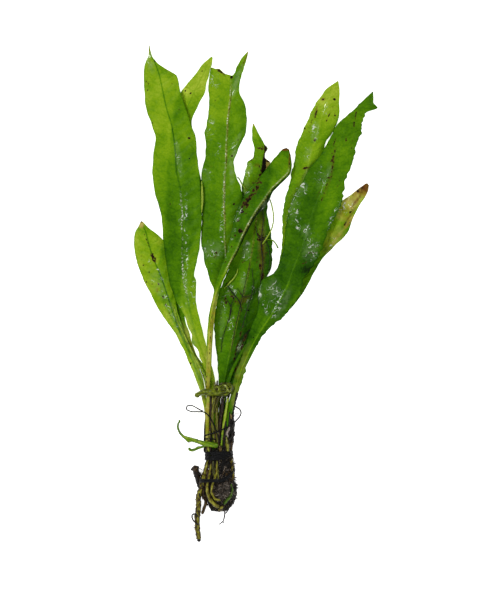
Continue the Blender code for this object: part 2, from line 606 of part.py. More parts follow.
# The two thread bands: middle x and height, half width and half height outside, and where they sit along y
BANDS = {
    "thread_band_upper": {
        "middle": (109.4, 4.95),
        "half": (7.25, 4.9),
        "low": 70.3,
        "high": 74.7,
        "rise": 0.0,
    },
    "thread_band_lower": {
        "middle": (108.7, 5.6),
        "half": (9.1, 5.5),
        "low": 59.2,
        "high": 61.2,
        "rise": 5.0,
    },
}
BAND_THICK = 0.42
BAND_STEPS = 36

# The coiled young frond at the end of the side shoot
COIL_MIDDLE = (112.3, 105.9, 9.3)
COIL_START = -128  # degrees round its middle, where the shoot joins it
COIL_TURNS = 1.35
COIL_OUTER = 4.0  # radius of its line where it leaves the shoot
COIL_INNER = 0.9
COIL_FLAT = 0.74  # how much narrower it is along y
COIL_TUBE = (1.0, 0.72)  # the frond's own radius at the outer and the inner end
COIL_RISE = 0.8  # from the outer to the inner end
COIL_POINTS = 15


def clear_scene():
    for obj in list(bpy.data.objects):
        bpy.data.objects.remove(obj, do_unlink=True)


def placed(x, y, z):
    return Vector(((x - PLAN_CENTRE[0]) * MM, (y - PLAN_CENTRE[1]) * MM, z * MM))


def surface(name, finish):
    colour, roughness = finish
    material = bpy.data.materials.new(name)
    material.use_nodes = True
    shader = material.node_tree.nodes["Principled BSDF"]
    shader.inputs["Base Color"].default_value = (*colour, 1.0)
    shader.inputs["Roughness"].default_value = roughness
    shader.inputs["Metallic"].default_value = 0.0
    return material


def add_object(name, data, finish):
    data.materials.append(surface(name, finish))
    obj = bpy.data.objects.new(name, data)
    bpy.context.scene.collection.objects.link(obj)
    return obj


def skin_rings(name, rings, finish, closed=False):
    """A closed solid through rings of equally many points. A row of rings gets caps, a closed row none."""
    mesh = bmesh.new()
    loops = [[mesh.verts.new(placed(*point)) for point in ring] for ring in rings]
    count = len(loops[0])
    pairs = list(zip(loops, loops[1:]))
    if closed:
        pairs.append((loops[-1], loops[0]))
    else:
        mesh.faces.new(loops[0])
        mesh.faces.new(loops[-1])
    for near, far in pairs:
        for i in range(count):
            j = (i + 1) % count
            mesh.faces.new((near[i], near[j], far[j], far[i]))
    bmesh.ops.triangulate(mesh, faces=mesh.faces)
    bmesh.ops.recalc_face_normals(mesh, faces=mesh.faces)
    data = bpy.data.meshes.new(name)
    mesh.to_mesh(data)
    mesh.free()
    data.shade_smooth()
    return add_object(name, data, finish)


def rib_ring(left, middle, right, shoulder, heights):
    """Ten points round one section: over the top from the left edge to the right, and back underneath."""
    side_high, shoulder_high, middle_high = heights
    line = [
        (left, side_high),
        (left.lerp(middle, 1 - shoulder), shoulder_high),
        (middle, middle_high),
        (right.lerp(middle, 1 - shoulder), shoulder_high),
        (right, side_high),
    ]
    over = [(p.x, p.y, p.z + high) for p, high in line]
    under = [(p.x, p.y, max(0.0, p.z - high)) for p, high in reversed(line)]
    return over + under


def stem_ring(x, y, z, radius, across):
    middle = Vector((x, y, z))
    heights = (radius * STEM_SIDE_HIGH, radius * STEM_SHOULDER_HIGH, radius)
    return rib_ring(middle - across * radius, middle, middle + across * radius, STEM_SHOULDER, heights)


def stem_across(stem, blade, i):
    """The level direction across the stem at its i-th point, to the right of its run."""
    line = [Vector(point[:2]) for point in stem] + [Vector(blade[0][3:5])]
    run = line[i + 1] - line[max(i - 1, 0)]
    return Vector((run.y, -run.x, 0.0)).normalized()


def make_leaf(name, leaf):
    stem = leaf["stem"]
    blade = leaf["blade"]
    rings = [stem_ring(*point, stem_across(stem, blade, i)) for i, point in enumerate(stem)]
    for i, rib in enumerate(blade):
        left = Vector(rib[0:3])
        middle = Vector(rib[3:6])
        right = Vector(rib[6:9])
        along = i / (len(blade) - 1)
        half_width = ((left - middle).length + (right - middle).length) / 2
        shoulder = min(STEM_SHOULDER, RIB_REACH / max(half_width, RIB_REACH))
        rib_half = RIB_HALF_LOW + (RIB_HALF_TIP - RIB_HALF_LOW) * along
        if i == len(blade) - 1:
            rib_half = EDGE_HALF
        heights = (EDGE_HALF, min(BLADE_HALF, rib_half), rib_half)
        rings.append(rib_ring(left, middle, right, shoulder, heights))
    return skin_rings(name, rings, leaf["finish"])


def make_strand(name, route, finish, roundness=2):
    """A round strand on a smooth curve through the route's points, each with its own radius."""
    curve = bpy.data.curves.new(name, "CURVE")
    curve.dimensions = "3D"
    curve.resolution_u = STRAND_STEPS
    curve.bevel_depth = MM
    curve.bevel_resolution = roundness
    curve.use_fill_caps = True
    spline = curve.splines.new("BEZIER")
    spline.bezier_points.add(len(route) - 1)
    for point, (x, y, z, radius) in zip(spline.bezier_points, route):
        point.co = placed(x, y, z)
        point.radius = radius
        point.handle_left_type = "AUTO"
        point.handle_right_type = "AUTO"
    return add_object(name, curve, finish)


def root_section(y):
    """The mat's section at y: middle x, half width, middle height and half height, between the given ones."""
    for upper, lower in zip(ROOT_SECTIONS, ROOT_SECTIONS[1:]):
        if lower[0] <= y <= upper[0]:
            share = (upper[0] - y) / (upper[0] - lower[0])
            return [a + (b - a) * share for a, b in zip(upper[1:], lower[1:])]
    return ROOT_SECTIONS[-1][1:]


def above_mat(x, y, clear):
    """How high a point at x and y is when it stays this clear of the mat's upper side."""
    middle, half_width, height, half_height = root_section(y)
    across = (x - middle) / (half_width * (1 + ROOT_SWELL) + clear)
    return height + (half_height * (1 + ROOT_SWELL) + clear) * math.sqrt(max(0.0, 1 - across * across))


def make_root_mat():
    rings = []
    for row, (y, middle, half_width, height, half_height) in enumerate(ROOT_SECTIONS):
        ring = []
        for i in range(ROOT_SIDES):
            angle = math.tau * i / ROOT_SIDES
            swell = 1 + ROOT_SWELL * math.sin(ROOT_SWELLINGS * angle + ROOT_TWIST * row)
            x = middle + half_width * swell * math.cos(angle)
            z = height + half_height * swell * math.sin(angle)
            ring.append((x, y, max(0.0, z)))
        rings.append(ring)
    return skin_rings("root_mat", rings, BROWN_ROOT)


def make_bent_rhizome(name, rhizome):
    route = [(x, y, above_mat(x, y, radius + GAP), radius) for x, y, radius in rhizome["line"]]
    return make_strand(name, route, rhizome["finish"])


def make_band(name, band):
    """A flat band of wound thread round the bundle, in four corners for each step round."""
    middle_x, middle_z = band["middle"]
    half_x, half_z = band["half"]
    rings = []
    for i in range(BAND_STEPS):
        angle = math.tau * i / BAND_STEPS
        cos, sin = math.cos(angle), math.sin(angle)
        lift = band["rise"] * max(0.0, cos) ** 2
        outer = (middle_x + half_x * cos, middle_z + half_z * sin)
        inner = (middle_x + (half_x - BAND_THICK) * cos, middle_z + (half_z - BAND_THICK) * sin)
        low = band["low"] + lift
        high = band["high"] + lift
        rings.append(
            [
                (outer[0], low, max(0.0, outer[1])),
                (outer[0], high, max(0.0, outer[1])),
                (inner[0], high, inner[1]),
                (inner[0], low, inner[1]),
            ]
        )
    return skin_rings(name, rings, BLACK_THREAD, closed=True)


def make_coil():
    """The young frond's coil: a spiral whose radius shrinks evenly as it turns."""
    route = []
    for i in range(COIL_POINTS):
        share = i / (COIL_POINTS - 1)
        angle = math.radians(COIL_START) + math.tau * COIL_TURNS * share
        radius = COIL_OUTER + (COIL_INNER - COIL_OUTER) * share
        x = COIL_MIDDLE[0] + radius * math.cos(angle)
        y = COIL_MIDDLE[1] + radius * math.sin(angle) * COIL_FLAT
        tube = COIL_TUBE[0] + (COIL_TUBE[1] - COIL_TUBE[0]) * share
        route.append((x, y, COIL_MIDDLE[2] + COIL_RISE * share, tube))
    return make_strand("frond_coiled", route, GREEN_STALK)


clear_scene()
for leaf_name, leaf_spec in LEAVES.items():
    make_leaf(leaf_name, leaf_spec)
for strand_name, strand in STRANDS.items():
    make_strand(strand_name, strand["route"], strand["finish"])
for thread_name, thread in THREADS.items():
    make_strand(thread_name, [(*point, THREAD_RADIUS) for point in thread], BLACK_THREAD, roundness=1)
make_root_mat()
for rhizome_name, rhizome_spec in BENT_RHIZOMES.items():
    make_bent_rhizome(rhizome_name, rhizome_spec)
for band_name, band_spec in BANDS.items():
    make_band(band_name, band_spec)
make_coil()
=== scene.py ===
from functools import partial

import bpy
import numpy as np
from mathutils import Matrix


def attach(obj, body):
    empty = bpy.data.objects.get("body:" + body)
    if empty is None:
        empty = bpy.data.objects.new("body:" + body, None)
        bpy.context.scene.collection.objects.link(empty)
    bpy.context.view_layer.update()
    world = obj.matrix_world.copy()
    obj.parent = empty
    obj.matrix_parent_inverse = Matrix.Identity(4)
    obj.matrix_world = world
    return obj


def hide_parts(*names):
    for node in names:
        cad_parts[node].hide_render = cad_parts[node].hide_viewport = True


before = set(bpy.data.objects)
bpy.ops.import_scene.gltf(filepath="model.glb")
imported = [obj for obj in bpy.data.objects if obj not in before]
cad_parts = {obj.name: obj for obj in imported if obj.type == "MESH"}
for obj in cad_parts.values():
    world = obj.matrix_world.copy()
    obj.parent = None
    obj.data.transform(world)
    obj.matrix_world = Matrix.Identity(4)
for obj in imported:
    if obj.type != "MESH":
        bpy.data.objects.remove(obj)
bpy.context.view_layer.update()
print("frame loaded")

mm = 0.001
planCentre = np.array([127.7, 153.5, 0.0])  # the plan point that is the frame's origin
pixel = 0.5  # one pixel of the photograph on the plan sheet
sheetHigh = 300.0
body = "root"

camera = {"across": -7.7, "along": -3.5, "above": 1253.0, "lens": 150.0, "sensor": 36.0}

softboxes = {
    "keyLight": {"at": (-520, 430, 900), "wide": 260, "watts": 6.6},
    "fillLight": {"at": (620, 120, 800), "wide": 600, "watts": 3.3},
    "lowLight": {"at": (-60, -760, 700), "wide": 500, "watts": 2.8},
}
roomLight = 0.15  # the even light from all round


def linear(hexColour):
    # an sRGB hex colour as linear light, with full cover
    channels = np.array([int(hexColour[i : i + 2], 16) for i in (1, 3, 5)]) / 255
    curve = ((channels + 0.055) / 1.055) ** 2.4
    return (*np.where(channels <= 0.04045, channels / 12.92, curve), 1.0)


def addNode(tree, kind, settings=(), links=()):
    # a number or a socket's name sets that input, "stops" a ramp's colours, and any other name the node itself
    node = tree.nodes.new(kind)
    for name, value in dict(settings).items():
        if name == "stops":
            stops = node.color_ramp.elements
            while len(stops) < len(value):
                stops.new(0.5)
            for stop, (place, colour) in zip(stops, value):
                stop.position = place
                stop.color = linear(colour)
        elif isinstance(name, int) or name in node.inputs:
            node.inputs[name].default_value = value
        else:
            setattr(node, name, value)
    for name, source in dict(links).items():
        output = source[0].outputs[source[1]] if isinstance(source, tuple) else source.outputs[0]
        tree.links.new(output, node.inputs[name])
    return node


def freshMaterial(name, rough, ior, shine=0.5):
    material = bpy.data.materials.new(name)
    material.use_nodes = True
    shader = material.node_tree.nodes["Principled BSDF"]
    shader.inputs["Roughness"].default_value = rough
    shader.inputs["IOR"].default_value = ior
    shader.inputs["Specular IOR Level"].default_value = shine
    return material, material.node_tree, shader


# Fern blade, grown: a thin waxy skin over green cells, so single layers are bright; where one blade lies over others it
# is painted darker, a painted shade for the light from below that they hold back.
# Darker side veins slant from the midrib every 6 mm, with a net of 2 mm meshes between them.
bladeFinish = {
    "greens": [
        (0.0, "#122804"), (0.15, "#245001"), (0.3, "#386601"), (0.45, "#4D7D02"),
        (0.6, "#669206"), (0.75, "#80A412"), (0.88, "#98B22A"), (1.0, "#B4C444"),
    ],
    "tans": [(0.3, "#74501A"), (0.42, "#9A8A28"), (0.55, "#B8AC58"), (0.7, "#8F7A26")],
    "scabs": [(0.45, "#5E4716"), (0.65, "#33240E"), (0.95, "#120F0B")],
    "ragWide": 1.3,
    # painted sheen: the pale grey-green that shining parts of a blade are painted towards
    "film": "#8CA46C",
    "rust": "#643812",
    # Midrib knobs: their own dark brown and olive, rising to near-white painted highlights
    "beadsAndGlints": [(0.1, "#2C230C"), (0.35, "#6F7424"), (0.6, "#A9AF6E"), (0.85, "#E9ECDC")],
    # painted highlight: the near-white of the glint strokes
    "gleam": "#EEF2E8",
    "mottleEvery": 9,
    "veinEvery": 6.0,
    "veinLean": 0.6,
    "meshWide": 2.2,
    "gleamWide": 3.0,
    "breakWide": 2.6,
    "speckEvery": 3.2,
    "rough": 0.4,
    "shine": 0.05,
    "wetRough": 0.14,
    "waterIor": 1.33,
    "ior": 1.42,
}


def makeBladeMaterial(name, finish):
    material, tree, shader = freshMaterial(name, finish["rough"], finish["ior"], finish["shine"])
    shader.inputs["Coat Roughness"].default_value = finish["wetRough"]
    shader.inputs["Coat IOR"].default_value = finish["waterIor"]
    add = partial(addNode, tree)
    share = {
        word: add("ShaderNodeAttribute", {"attribute_name": word})
        for word in ("tone", "dead", "tan", "rust", "film", "wet", "bead", "beaded", "specks")
    }
    fac = {word: (node, "Fac") for word, node in share.items()}
    place = (add("ShaderNodeTexCoord"), "Object")
    grain = add("ShaderNodeUVMap", {"uv_map": "grain"})
    apart = add("ShaderNodeSeparateXYZ", links={0: grain})

    mottle = add("ShaderNodeTexNoise", {"Scale": 1000 / finish["mottleEvery"], "Detail": 3.0}, {"Vector": place})
    fine = add("ShaderNodeTexNoise", {"Scale": 1100.0, "Detail": 2.0}, {"Vector": place})
    wander = add("ShaderNodeTexNoise", {"Scale": 2.2, "Detail": 1.0}, {"Vector": grain})
    side = add("ShaderNodeMath", {"operation": "ABSOLUTE"}, {0: (apart, 0)})
    lean = add("ShaderNodeMath", {"operation": "MULTIPLY_ADD", 1: -finish["veinLean"]}, {0: side, 2: (apart, 1)})
    bent = add("ShaderNodeMath", {"operation": "MULTIPLY_ADD", 1: 0.8}, {0: wander, 2: lean})
    turns = add("ShaderNodeMath", {"operation": "MULTIPLY", 1: 10 * np.pi / finish["veinEvery"]}, {0: bent})
    wave = add("ShaderNodeMath", {"operation": "SINE"}, {0: turns})
    crest = add("ShaderNodeMath", {"operation": "ABSOLUTE"}, {0: wave})
    vein = add("ShaderNodeMath", {"operation": "POWER", 1: 14.0}, {0: crest})
    mesh = add(
        "ShaderNodeTexVoronoi",
        {"feature": "DISTANCE_TO_EDGE", "Scale": 10 / finish["meshWide"]},
        {"Vector": grain},
    )
    net = add("ShaderNodeMapRange", {1: 0.0, 2: 0.09, 3: 1.0, 4: 0.0}, {0: mesh})

    lines = add("ShaderNodeMath", {"operation": "MULTIPLY", 1: 0.055}, {0: vein})
    lines = add("ShaderNodeMath", {"operation": "MULTIPLY_ADD", 1: 0.06}, {0: net, 2: lines})
    swing = add("ShaderNodeMapRange", {1: 0.25, 2: 0.75, 3: -0.09, 4: 0.12}, {0: mottle})
    flicker = add("ShaderNodeMapRange", {1: 0.3, 2: 0.7, 3: -0.045, 4: 0.055}, {0: fine})
    tone = add("ShaderNodeMath", {"operation": "ADD"}, {0: fac["tone"], 1: swing})
    tone = add("ShaderNodeMath", {"operation": "ADD"}, {0: tone, 1: flicker})
    tone = add("ShaderNodeMath", {"operation": "SUBTRACT"}, {0: tone, 1: lines})
    colour = add("ShaderNodeValToRGB", {"stops": finish["greens"]}, {0: tone})

    def lay(under, over, share):
        blend = {0: share, 6: under}
        settings = {"data_type": "RGBA"}
        if isinstance(over, str):
            settings[7] = linear(over)
        else:
            blend[7] = over
        return add("ShaderNodeMix", settings, blend), 2

    tans = add("ShaderNodeValToRGB", {"stops": finish["tans"]}, {0: mottle})
    colour = lay(colour, tans, fac["tan"])
    colour = lay(colour, finish["rust"], fac["rust"])
    # painted sheen: the colour is drawn towards a pale grey-green where the blade shines, and the same marks give it a
    # clear coat
    paintedSheenMix = add("ShaderNodeMath", {"operation": "MULTIPLY", 1: 0.45}, {0: fac["film"]})
    colour = lay(colour, finish["film"], paintedSheenMix)

    cells = add("ShaderNodeTexVoronoi", {"Scale": 1000 / finish["speckEvery"]}, {"Vector": place})
    dice = add("ShaderNodeSeparateXYZ", links={0: (cells, "Color")})
    reach = add("ShaderNodeMath", {"operation": "MULTIPLY", 1: 0.16}, {0: (dice, 0)})
    picked = add("ShaderNodeMath", {"operation": "LESS_THAN"}, {0: (dice, 1), 1: fac["specks"]})
    dots = add("ShaderNodeMath", {"operation": "LESS_THAN"}, {0: (cells, "Distance"), 1: reach})
    dots = add("ShaderNodeMath", {"operation": "MULTIPLY"}, {0: dots, 1: picked})
    rag = add("ShaderNodeTexNoise", {"Scale": 1000 / finish["ragWide"], "Detail": 2.0}, {"Vector": place})
    rag = add("ShaderNodeMapRange", {1: 0.32, 2: 0.68, 3: -0.38, 4: 0.38}, {0: rag})
    decay = add("ShaderNodeMath", {"operation": "ADD"}, {0: fac["dead"], 1: rag})
    scab = add("ShaderNodeMath", {"operation": "MAXIMUM"}, {0: dots, 1: decay})
    scabs = add("ShaderNodeValToRGB", {"stops": finish["scabs"]}, {0: scab})
    cover = add("ShaderNodeMapRange", {1: 0.42, 2: 0.6, 3: 0.0, 4: 1.0}, {0: scab})
    colour = lay(colour, scabs, cover)

    # painted highlight: short pale strokes inside the wet marks are painted towards near-white; the same marks give a
    # clear coat and a bumpier skin
    drops = add(
        "ShaderNodeTexNoise", {"Scale": 1000 / finish["gleamWide"], "Detail": 1.0, "Distortion": 0.8}, {"Vector": place}
    )
    middle = add("ShaderNodeMath", {"operation": "SUBTRACT", 1: 0.5}, {0: drops})
    ridge = add("ShaderNodeMath", {"operation": "ABSOLUTE"}, {0: middle})
    strings = add("ShaderNodeMapRange", {1: 0.008, 2: 0.026, 3: 1.0, 4: 0.0}, {0: ridge})
    breaks = add("ShaderNodeTexNoise", {"Scale": 1000 / finish["breakWide"], "Detail": 1.0}, {"Vector": place})
    breaks = add("ShaderNodeMapRange", {1: 0.47, 2: 0.56, 3: 0.0, 4: 1.0}, {0: breaks})
    strings = add("ShaderNodeMath", {"operation": "MULTIPLY"}, {0: strings, 1: breaks})
    gleam = add("ShaderNodeMath", {"operation": "MULTIPLY"}, {0: strings, 1: fac["wet"]})
    tint = add("ShaderNodeMath", {"operation": "MULTIPLY", 1: 0.85}, {0: gleam})
    colour = lay(colour, finish["gleam"], tint)
    # painted highlight: the midrib knobs run up to near-white where they catch the light
    beadsAndGlints = add("ShaderNodeValToRGB", {"stops": finish["beadsAndGlints"]}, {0: fac["bead"]})
    colour = lay(colour, beadsAndGlints, fac["beaded"])
    tree.links.new(colour[0].outputs[2], shader.inputs["Base Color"])

    glossy = add("ShaderNodeMath", {"operation": "MAXIMUM"}, {0: fac["wet"], 1: fac["film"]})
    tree.links.new(glossy.outputs[0], shader.inputs["Coat Weight"])
    dry = add("ShaderNodeMapRange", {1: 0.3, 2: 0.7, 3: finish["rough"] - 0.06, 4: finish["rough"] + 0.06}, {0: fine})
    rough = add("ShaderNodeMath", {"operation": "MULTIPLY_ADD", 1: 0.3}, {0: scab, 2: dry})
    tree.links.new(rough.outputs[0], shader.inputs["Roughness"])

    rise = add("ShaderNodeMath", {"operation": "MULTIPLY_ADD", 1: -0.35}, {0: net, 2: fine})
    rise = add("ShaderNodeMath", {"operation": "MULTIPLY_ADD", 1: -0.5}, {0: vein, 2: rise})
    wetRise = add("ShaderNodeMath", {"operation": "MULTIPLY", 1: 2.5}, {0: drops, 1: fac["wet"]})
    wetRise = add("ShaderNodeMath", {"operation": "MULTIPLY"}, {0: wetRise, 1: fac["wet"]})
    rise = add("ShaderNodeMath", {"operation": "ADD"}, {0: rise, 1: wetRise})
    bump = add("ShaderNodeBump", {"Strength": 0.5, "Distance": 0.00025}, {"Height": rise})
    tree.links.new(bump.outputs[0], shader.inputs["Normal"])
    return material


def makeGrowthMaterial(name, finish):
    # stripes run along the growth: noise stretched to "around" by "along" mm, coloured by the finish's stops
    material, tree, shader = freshMaterial(name, finish["rough"], finish["ior"], finish.get("shine", 0.3))
    shader.inputs["Coat Weight"].default_value = finish.get("wet", 0.0)
    shader.inputs["Coat Roughness"].default_value = 0.15
    shader.inputs["Coat IOR"].default_value = 1.33
    add = partial(addNode, tree)
    place = (add("ShaderNodeTexCoord"), "Object")
    grain = add("ShaderNodeUVMap", {"uv_map": "grain"})
    stretch = (10 / finish["around"], 10 / finish["along"], 1.0)
    run = add("ShaderNodeMapping", {"Scale": stretch}, {"Vector": grain})
    stripes = add("ShaderNodeTexNoise", {"Scale": 1.0, "Detail": 3.0}, {"Vector": run})
    tone = add("ShaderNodeAttribute", {"attribute_name": "tone"})
    shift = add("ShaderNodeMath", {"operation": "ADD"}, {0: (tone, "Fac"), 1: stripes})
    colour = add("ShaderNodeValToRGB", {"stops": finish["stops"]}, {0: shift})
    cells = add("ShaderNodeTexVoronoi", {"Scale": 1000 / finish["speckEvery"]}, {"Vector": place})
    dots = add("ShaderNodeMapRange", {1: 0.12, 2: 0.3, 3: finish["specks"], 4: 0.0}, {0: cells})
    colour = add(
        "ShaderNodeMix", {"data_type": "RGBA", 7: linear(finish["speckColour"])}, {0: dots, 6: colour}
    )
    tree.links.new(colour.outputs[2], shader.inputs["Base Color"])
    fine = add("ShaderNodeTexNoise", {"Scale": 1000 / finish["pitWide"], "Detail": 3.0}, {"Vector": place})
    rise = add("ShaderNodeMath", {"operation": "ADD"}, {0: fine, 1: stripes})
    bump = add("ShaderNodeBump", {"Strength": 0.6, "Distance": 0.0002}, {"Height": rise})
    tree.links.new(bump.outputs[0], shader.inputs["Normal"])
    wear = add("ShaderNodeMapRange", {1: 0.3, 2: 0.7, 3: finish["rough"] - 0.08, 4: finish["rough"] + 0.1}, {0: fine})
    tree.links.new(wear.outputs[0], shader.inputs["Roughness"])
    return material


growthFinishes = {
    # Young fern stalk, grown: smooth, faintly lined lengthwise, with a wet gloss
    "greenStalk": {
        "stops": [(0.25, "#2A3C04"), (0.45, "#4E740A"), (0.6, "#769610"), (0.75, "#9FB23C")],
        "around": 0.8, "along": 6.0, "specks": 0.35, "speckEvery": 2.6, "speckColour": "#3A2E10",
        "pitWide": 0.8, "rough": 0.36, "ior": 1.42, "shine": 0.2, "wet": 0.2,
    },
    # Old fern stalk, grown and then faded: olive yellow with brown lengthwise lines
    "oldStalk": {
        "stops": [(0.25, "#1E1804"), (0.42, "#46460A"), (0.58, "#777A1A"), (0.75, "#A2A044")],
        "around": 0.5, "along": 5.0, "specks": 0.5, "speckEvery": 1.8, "speckColour": "#2A1E0C",
        "pitWide": 0.6, "rough": 0.42, "ior": 1.42, "wet": 0.3,
    },
    # Warty shoot and rolled frond, grown: small round warts, yellow-green with brown between them
    "wartyShoot": {
        "stops": [(0.2, "#1E1904"), (0.4, "#363C06"), (0.55, "#5A680A"), (0.72, "#7E8A18"), (0.9, "#C2C88A")],
        "around": 0.8, "along": 1.8, "specks": 0.45, "speckEvery": 1.2, "speckColour": "#2C2208",
        "pitWide": 0.6, "rough": 0.34, "ior": 1.42, "shine": 0.2, "wet": 0.3,
    },
    # Fern rhizome, grown: yellow-green under papery dark brown scales about 1 mm long
    "scalyRhizome": {
        "stops": [(0.28, "#1C1407"), (0.4, "#4A3C10"), (0.52, "#75701A"), (0.62, "#8E8C28"), (0.8, "#B5B158")],
        "around": 1.1, "along": 2.4, "specks": 0.45, "speckEvery": 1.7, "speckColour": "#1E1409",
        "pitWide": 0.5, "rough": 0.42, "ior": 1.45, "shine": 0.2, "wet": 0.25,
    },
    # Matted root bark, grown and dried: brown, fibrous and nearly dull
    "brownRoot": {
        "stops": [(0.3, "#080604"), (0.48, "#1C140C"), (0.6, "#3A2916"), (0.76, "#665026"), (0.93, "#8F8640")],
        "around": 0.5, "along": 3.0, "specks": 0.5, "speckEvery": 1.5, "speckColour": "#0A0806",
        "pitWide": 0.4, "rough": 0.5, "ior": 1.45, "shine": 0.2, "wet": 0.25,
    },
    # Dead root and stalk, rotted: near black and ragged
    "blackRoot": {
        "stops": [(0.3, "#080706"), (0.55, "#13100C"), (0.75, "#262019"), (0.95, "#5A4C3A")],
        "around": 0.5, "along": 2.5, "specks": 0.3, "speckEvery": 1.2, "speckColour": "#050505",
        "pitWide": 0.4, "rough": 0.5, "ior": 1.45, "shine": 0.2, "wet": 0.25,
    },
    # Wad of grey root wool, soaked: greyish brown strands that glisten
    "greyWool": {
        "stops": [(0.3, "#1A140E"), (0.5, "#3E352A"), (0.68, "#6A6054"), (0.88, "#A69C92")],
        "around": 0.4, "along": 1.6, "specks": 0.3, "speckEvery": 1.2, "speckColour": "#14100A",
        "pitWide": 0.4, "rough": 0.4, "ior": 1.4, "wet": 0.7,
    },
    # Scrap of dry bark, peeled: pale and papery
    "paperScrap": {
        "stops": [(0.3, "#5A4E42"), (0.5, "#8E8276"), (0.7, "#B4AA9E"), (0.9, "#CFC8BE")],
        "around": 0.5, "along": 2.0, "specks": 0.3, "speckEvery": 1.0, "speckColour": "#3A3026",
        "pitWide": 0.4, "rough": 0.6, "ior": 1.45,
    },
    # Black sewing thread, spun from polyester: a soft shine on its plies
    "blackThread": {
        "stops": [(0.3, "#040505"), (0.55, "#0B0C0D"), (0.8, "#2C2E32")],
        "around": 0.3, "along": 0.6, "specks": 0.0, "speckEvery": 1.0, "speckColour": "#000000",
        "pitWide": 0.2, "rough": 0.5, "ior": 1.5, "shine": 0.12, "wet": 0.05,
    },
}
bladeMaterials = {
    slot: makeBladeMaterial(name, bladeFinish)
    for slot, name in {
        "leaf_green": "greenFernBlade",
        "leaf_pale": "paleFernBlade",
        "leaf_dark": "darkFernBlade",
        "leaf_yellow": "ageingFernBlade",
    }.items()
}
growthMaterials = {name: makeGrowthMaterial(name, finish) for name, finish in growthFinishes.items()}
print("materials made")


def glide(places, values, at, limited=True):
    # a cubic between each two places; a limited slope never lets the curve pass beyond its points
    steps = np.diff(places)[:, None]
    rises = np.diff(values, axis=0) / steps
    before, after = rises[:-1], rises[1:]
    slopes = np.vstack([rises[:1], (before * steps[1:] + after * steps[:-1]) / (steps[1:] + steps[:-1]), rises[-1:]])
    if limited:
        same = before * after > 0
        near = 2 * steps[1:] + steps[:-1]
        far = steps[1:] + 2 * steps[:-1]
        mean = (near + far) / (near / np.where(same, before, 1) + far / np.where(same, after, 1))
        slopes[1:-1] = np.where(same, mean, 0)
    i = np.clip(np.searchsorted(places, at, side="right") - 1, 0, len(places) - 2)
    h = steps[i]
    t = (at - places[i])[:, None] / h
    start = (2 * t**3 - 3 * t**2 + 1) * values[i] + (t**3 - 2 * t**2 + t) * h * slopes[i]
    return start + (3 * t**2 - 2 * t**3) * values[i + 1] + (t**3 - t**2) * h * slopes[i + 1]


def distances(points):
    # how far along its line each point is
    steps = np.linalg.norm(np.diff(points, axis=0), axis=1)
    return np.concatenate([[0.0], np.cumsum(steps)])


def ripples(x, y, size, seed):
    # seven sine waves about this long, each turned and shifted at random, together about -1 to 1
    draw = np.random.default_rng(seed)
    total = np.zeros(np.broadcast(x, y).shape)
    for _ in range(7):
        turn, shift = draw.uniform(0, 2 * np.pi, 2)
        length = size * draw.uniform(0.7, 1.5)
        total += np.sin((x * np.cos(turn) + y * np.sin(turn)) * 2 * np.pi / length + shift)
    return total / 3.5


def gridFaces(rows, columns):
    # quads between neighbouring rows of a ring, and both end rows closed by quads across from side to side
    row, column = np.meshgrid(np.arange(rows - 1), np.arange(columns), indexing="ij")
    following = (column + 1) % columns
    walls = np.stack(
        [row * columns + column, row * columns + following, (row + 1) * columns + following, (row + 1) * columns + column],
        axis=-1,
    ).reshape(-1, 4)
    j = np.arange(columns // 2 - 1)
    cap = np.stack([j, columns - 1 - j, columns - 2 - j, j + 1], axis=-1)
    return np.vstack([walls, cap, cap[:, ::-1] + (rows - 1) * columns])


def addPiece(name, points, faces, grain, material, replaced=(), shares=None):
    # one closed mesh from its points in sheet millimetres, its faces turned outwards
    points = (points.reshape(-1, 3) - planCentre) * mm
    corners = points[faces]
    volume = np.einsum("ij,ij->i", corners[:, 0], np.cross(corners[:, 1], corners[:, 2]))
    volume += np.einsum("ij,ij->i", corners[:, 0], np.cross(corners[:, 2], corners[:, 3]))
    if volume.sum() < 0:
        faces = faces[:, ::-1]
    mesh = bpy.data.meshes.new(name)
    mesh.vertices.add(len(points))
    mesh.vertices.foreach_set("co", points.ravel())
    mesh.loops.add(faces.size)
    mesh.loops.foreach_set("vertex_index", faces.ravel())
    mesh.polygons.add(len(faces))
    mesh.polygons.foreach_set("loop_start", np.arange(len(faces)) * 4)
    mesh.update(calc_edges=True)
    mesh.uv_layers.new(name="grain").data.foreach_set("uv", grain.reshape(-1, 2)[faces.ravel()].ravel())
    for word, values in (shares or {"tone": np.zeros(len(points))}).items():
        mesh.attributes.new(word, "FLOAT", "POINT").data.foreach_set("value", values.ravel().astype(float))
    mesh.shade_smooth()
    mesh.materials.append(material)
    piece = bpy.data.objects.new(name, mesh)
    bpy.context.scene.collection.objects.link(piece)
    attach(piece, body)
    if replaced:
        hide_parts(*replaced)
    return piece


